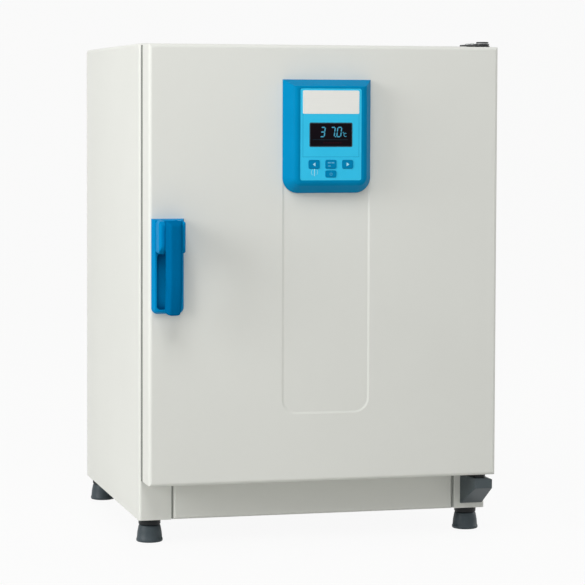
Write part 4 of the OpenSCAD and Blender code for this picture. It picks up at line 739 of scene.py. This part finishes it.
smoked_acrylic, tree, shader, where = new_finish(
    "smoked_acrylic", "#0B0813", Roughness=0.12, IOR=1.49, Specular_IOR_Level=0.05)
smoke = node(tree, "ShaderNodeTexNoise", puts={"Vector": where, "Scale": 1 / 0.03, "Detail": 1.0})
tone = node(tree, "ShaderNodeMix", sets={"data_type": "RGBA"}, puts={
    0: smoke.outputs[0], 6: linear("#08060E"), 7: linear("#150A12")})
tree.links.new(tone.outputs[2], shader.inputs["Base Color"])
wear(smoked_acrylic, "display_window")

phosphor, tree, shader, where = new_finish(
    "blue_green_phosphor", "#2F7E98", Roughness=0.5, Emission_Color=linear("#44B4DA"))
# The tube's fine wire grid is drawn at 1 mm, as a faint unevenness of the glow.
grid = node(tree, "ShaderNodeTexNoise", puts={"Vector": where, "Scale": 1 / 0.001, "Detail": 0.0})
glow = node(tree, "ShaderNodeMapRange", puts={"Value": grid.outputs[0], "To Min": 0.24, "To Max": 0.38})
tree.links.new(glow.outputs[0], shader.inputs["Emission Strength"])

# Bars that are off stay visible through the smoke, as a dim teal line and a row of dark red marks.
unlit = {}
for name, colour, low, high in (("unlit_teal_phosphor", "#1C3A48", "#16303C", "#1F414F"),
                                ("unlit_red_phosphor", "#2C0A14", "#240810", "#340C18")):
    unlit[name], tree, shader, where = new_finish(name, colour, Roughness=0.4, Specular_IOR_Level=0.05)
    grid = node(tree, "ShaderNodeTexNoise", puts={"Vector": where, "Scale": 1 / 0.001, "Detail": 0.0})
    tone = node(tree, "ShaderNodeMix", sets={"data_type": "RGBA"}, puts={
        0: grid.outputs[0], 6: linear(low), 7: linear(high)})
    tree.links.new(tone.outputs[2], shader.inputs["Base Color"])


def figure(lit, x, z, w, h, stroke, slant):
    """Seven bar figure: lit names its bars, a at the top, then clockwise, g in the middle."""
    gap, t, m = stroke * 0.18, stroke / 2, h / 2

    def level(v):
        return [(t + gap, v), (2 * t + gap, v + t), (w - 2 * t - gap, v + t), (w - t - gap, v),
                (w - 2 * t - gap, v - t), (2 * t + gap, v - t)]

    def upright(u, v0, v1):
        return [(u, v0 + gap), (u + t, v0 + t + gap), (u + t, v1 - t - gap), (u, v1 - gap),
                (u - t, v1 - t - gap), (u - t, v0 + t + gap)]

    bars = {"a": level(h - t), "b": upright(w - t, m, h - t), "c": upright(w - t, t, m), "d": level(t),
            "e": upright(t, t, m), "f": upright(t, m, h - t), "g": level(m)}
    return [[(x + u + v * math.tan(slant), z + v) for u, v in bars[k]] for k in lit]


# A slate line printed on the window's edge frames the figures.
window_lo, window_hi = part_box("display_window")
window_y = window_lo.y
left_x, right_x, low_z, top_z = (1000 * v for v in (window_lo.x, window_hi.x, window_lo.z, window_hi.z))
edge_w, turn_r = 1.3, 2.0
edge_line = [bar(left_x + turn_r, low_z, right_x - turn_r, low_z + edge_w),
             bar(left_x + turn_r, top_z - edge_w, right_x - turn_r, top_z),
             bar(left_x, low_z + turn_r, left_x + edge_w, top_z - turn_r),
             bar(right_x - edge_w, low_z + turn_r, right_x, top_z - turn_r)]
for x, z, start in ((left_x + turn_r, low_z + turn_r, 180), (right_x - turn_r, low_z + turn_r, 270),
                    (right_x - turn_r, top_z - turn_r, 0), (left_x + turn_r, top_z - turn_r, 90)):
    edge_line += arc(x, z, turn_r - edge_w, turn_r, start, start + 90, 6)
printed("display_edge_line", edge_line, window_y, frame_ink, "door")

# The figures stand 21 mm under the window's top edge: a three, a seven, a point and a nought.
# They are laid on its face, because the acrylic is drawn too dark to see through.
base_z, figure_w, figure_h, stroke, lean = top_z - 21.0, 7.5, 15.0, 1.6, math.radians(7)
figures = []
for lit, x in (("abcdg", -17.0), ("abc", -2.1), ("abcdef", 7.6)):
    figures += figure(lit, x, base_z, figure_w, figure_h, stroke, lean)
figures.append(bar(6.0, base_z, 7.4, base_z + 1.5))
printed("temperature_figures", figures, window_y, phosphor, "door")
ring_x, ring_z, letter_x, letter_z = 18.4, base_z + 6.6, 21.6, base_z + 3.4
unit = arc(ring_x, ring_z, 0.5, 1.0, 0, 360, 14) + arc(letter_x, letter_z, 1.9, 2.8, 55, 305, 16)
printed("degree_sign", unit, window_y, phosphor, "door")
rule = bar(-27.5, base_z - 3.8, 25.0, base_z - 3.3)
printed("display_rule", [rule], window_y, unlit["unlit_teal_phosphor"], "door")
marks, mark_x, mark_pitch, mark_w, mark_low, mark_top = 8, -11.5, 3.5, 2.5, base_z - 8.8, base_z - 7.4
mark_row = [bar(mark_x + k * mark_pitch, mark_low, mark_x + k * mark_pitch + mark_w, mark_top)
            for k in range(marks)]
printed("unlit_marks", mark_row, window_y, unlit["unlit_red_phosphor"], "door")


# Four keys stand through the foil. Each cap is the foil's own polyester, domed and printed in a deeper
# blue, with its sign in a pale ink: two arrows, a list, and the mark for power.

key_film, tree, shader, where = new_finish(
    "domed_key_film", "#0088BC", Roughness=0.4, IOR=1.57, Specular_IOR_Level=0.03)
# The film has the foil's velvet grain, drawn as coarse as there.
velvet = node(tree, "ShaderNodeTexNoise", puts={"Vector": where, "Scale": 1 / 0.0008, "Detail": 1.0})
edge = node(tree, "ShaderNodeBevel", sets={"samples": 4}, puts={"Radius": 0.0006})
bump = node(tree, "ShaderNodeBump", puts={
    "Height": velvet.outputs[0], "Strength": 0.1, "Distance": 0.0001, "Normal": edge.outputs[0]})
drift = node(tree, "ShaderNodeTexNoise", puts={"Vector": where, "Scale": 1 / 0.008, "Detail": 1.0})
tone = node(tree, "ShaderNodeMix", sets={"data_type": "RGBA"}, puts={
    0: drift.outputs[0], 6: linear("#0084B8"), 7: linear("#008CC2")})
tree.links.new(tone.outputs[2], shader.inputs["Base Color"])
tree.links.new(bump.outputs[0], shader.inputs["Normal"])
wear(key_film, "left_key", "menu_key", "right_key", "power_key")


def key_middle(name):
    """The middle of a key's cap in millimetres, and the place of its face."""
    lo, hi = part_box(name)
    return (lo.x + hi.x) * 500, (lo.z + hi.z) * 500, lo.y


tip, tail, half_tail = 2.3, 1.7, 2.7
for key, side in (("left", 1), ("right", -1)):
    x, z, y = key_middle(key + "_key")
    arrow = [(x - side * tip, z), (x + side * tail, z - side * half_tail),
             (x + side * tail, z + side * half_tail)]
    printed(key + "_arrow_sign", [arrow], y, pale_ink, key + "_key")
x, z, y = key_middle("menu_key")
entries = [bar(x - 4.8, z + 1.4, x - 0.4, z + 3.2), bar(x + 0.6, z + 1.4, x + 4.8, z + 3.2),
           bar(x - 4.2, z - 3.0, x - 0.6, z - 1.6)]
printed("list_sign", entries, y, mid_ink, "menu_key")
x, z, y = key_middle("power_key")
power_mark = arc(x, z - 0.2, 1.5, 2.05, 125, 415, 18) + [bar(x - 0.28, z + 0.2, x + 0.28, z + 2.4)]
printed("power_sign", power_mark, y, mid_ink, "power_key")


# The floor is pale and swept up behind. The light is even: a soft lamp at the left and two weak ones, above
# the front and at the right, in a bright room.
# The camera stands level with the control housing, to the left, as the object was seen.

def backdrop_share(tree):
    """1 for a ray from the eye, off a mirror or through glass, which meet the white backdrop, else 0."""
    ray = node(tree, "ShaderNodeLightPath").outputs
    share = node(tree, "ShaderNodeMath", sets={"operation": "MAXIMUM"}, puts={
        0: ray["Is Camera Ray"], 1: ray["Is Glossy Ray"]})
    share = node(tree, "ShaderNodeMath", sets={"operation": "MAXIMUM"}, puts={
        0: share.outputs[0], 1: ray["Is Transmission Ray"]})
    return share.outputs[0]


floor_paint, tree, shader, where = new_finish("pale_floor", "#C9C9C6", Roughness=0.55)
mottle = node(tree, "ShaderNodeTexNoise", puts={"Vector": where, "Scale": 1 / 0.5, "Detail": 2.0})
tone = node(tree, "ShaderNodeMix", sets={"data_type": "RGBA"}, puts={
    0: mottle.outputs[0], 6: linear("#C6C6C3"), 7: linear("#CCCCC9")})
tree.links.new(tone.outputs[2], shader.inputs["Base Color"])
# The floor's own paint keeps a small share, which carries the object's shadow.
white_share = 0.93
share = node(tree, "ShaderNodeMath", sets={"operation": "MULTIPLY"}, puts={
    0: backdrop_share(tree), 1: white_share})
white = node(tree, "ShaderNodeEmission", puts={"Color": linear("#FFFFFF"), "Strength": 1.0})
mixed = node(tree, "ShaderNodeMixShader", puts={
    0: share.outputs[0], 1: shader.outputs[0], 2: white.outputs[0]})
tree.links.new(mixed.outputs[0], tree.nodes["Material Output"].inputs["Surface"])
half_floor, front_y, bend_y, bend_r, bend_steps, wall_top = 12.0, -8.0, 3.0, 2.0, 12, 7.0
bend = [math.pi / 2 * k / bend_steps for k in range(1, bend_steps + 1)]
sweep = [(front_y, 0.0), (bend_y, 0.0)]
sweep += [(bend_y + bend_r * math.sin(a), bend_r - bend_r * math.cos(a)) for a in bend]
sweep += [(bend_y + bend_r, wall_top)]
shape = bmesh.new()
rows = [[shape.verts.new((x, y, z)) for x in (-half_floor, half_floor)] for y, z in sweep]
for low, high in zip(rows, rows[1:]):
    shape.faces.new([low[0], low[1], high[1], high[0]])
new_piece("floor", shape, floor_paint, smooth=True)

world = bpy.data.worlds.new("bright_room")
world.use_nodes = True
bpy.context.scene.world = world
tree = world.node_tree
tree.nodes.clear()
room = node(tree, "ShaderNodeBackground", puts={"Color": linear("#FBFBF9"), "Strength": 0.42})
backdrop = node(tree, "ShaderNodeBackground", puts={"Color": linear("#FFFFFF"), "Strength": 1.0})
mixed = node(tree, "ShaderNodeMixShader", puts={
    0: backdrop_share(tree), 1: room.outputs[0], 2: backdrop.outputs[0]})
node(tree, "ShaderNodeOutputWorld", puts={"Surface": mixed.outputs[0]})

aim = Vector((0, 0, 0.35))
for name, place, size, watts in (("left_lamp", (-3.4, -1.0, 1.5), 1.8, 66.0),
                                 ("front_lamp", (-0.6, -1.8, 2.2), 1.2, 22.0),
                                 ("right_lamp", (3.2, 0.6, 1.6), 1.8, 24.0)):
    lamp = bpy.data.lights.new(name, "AREA")
    lamp.energy, lamp.size = watts, size
    made = bpy.data.objects.new(name, lamp)
    made.location = place
    made.rotation_euler = (aim - Vector(place)).to_track_quat("-Z", "Y").to_euler()
    bpy.context.scene.collection.objects.link(made)

# The picture's side, the focal length and the lens's upright shift are in pixels.
picture, focal, shift = 585, 2397.21, -58.5
stand = (-0.9180, -3.5794, 0.6356)
yaw, pitch, roll = 0.2532, -0.0523, 0.0034
ahead = Vector((math.sin(yaw) * math.cos(pitch), math.cos(yaw) * math.cos(pitch), math.sin(pitch)))
level_side = Vector((math.cos(yaw), -math.sin(yaw), 0.0))
level_up = level_side.cross(ahead)
side = level_side * math.cos(roll) + level_up * math.sin(roll)
above = level_up * math.cos(roll) - level_side * math.sin(roll)
lens = bpy.data.cameras.new("camera")
lens.sensor_width = 36.0
lens.lens = lens.sensor_width * focal / picture
lens.shift_y = shift / picture
lens.clip_end = 100.0
camera = bpy.data.objects.new("camera", lens)
camera.matrix_world = Matrix.Translation(stand) @ Matrix((side, above, -ahead)).transposed().to_4x4()
bpy.context.scene.collection.objects.link(camera)
bpy.context.scene.camera = camera
bpy.context.scene.view_settings.view_transform = "Standard"
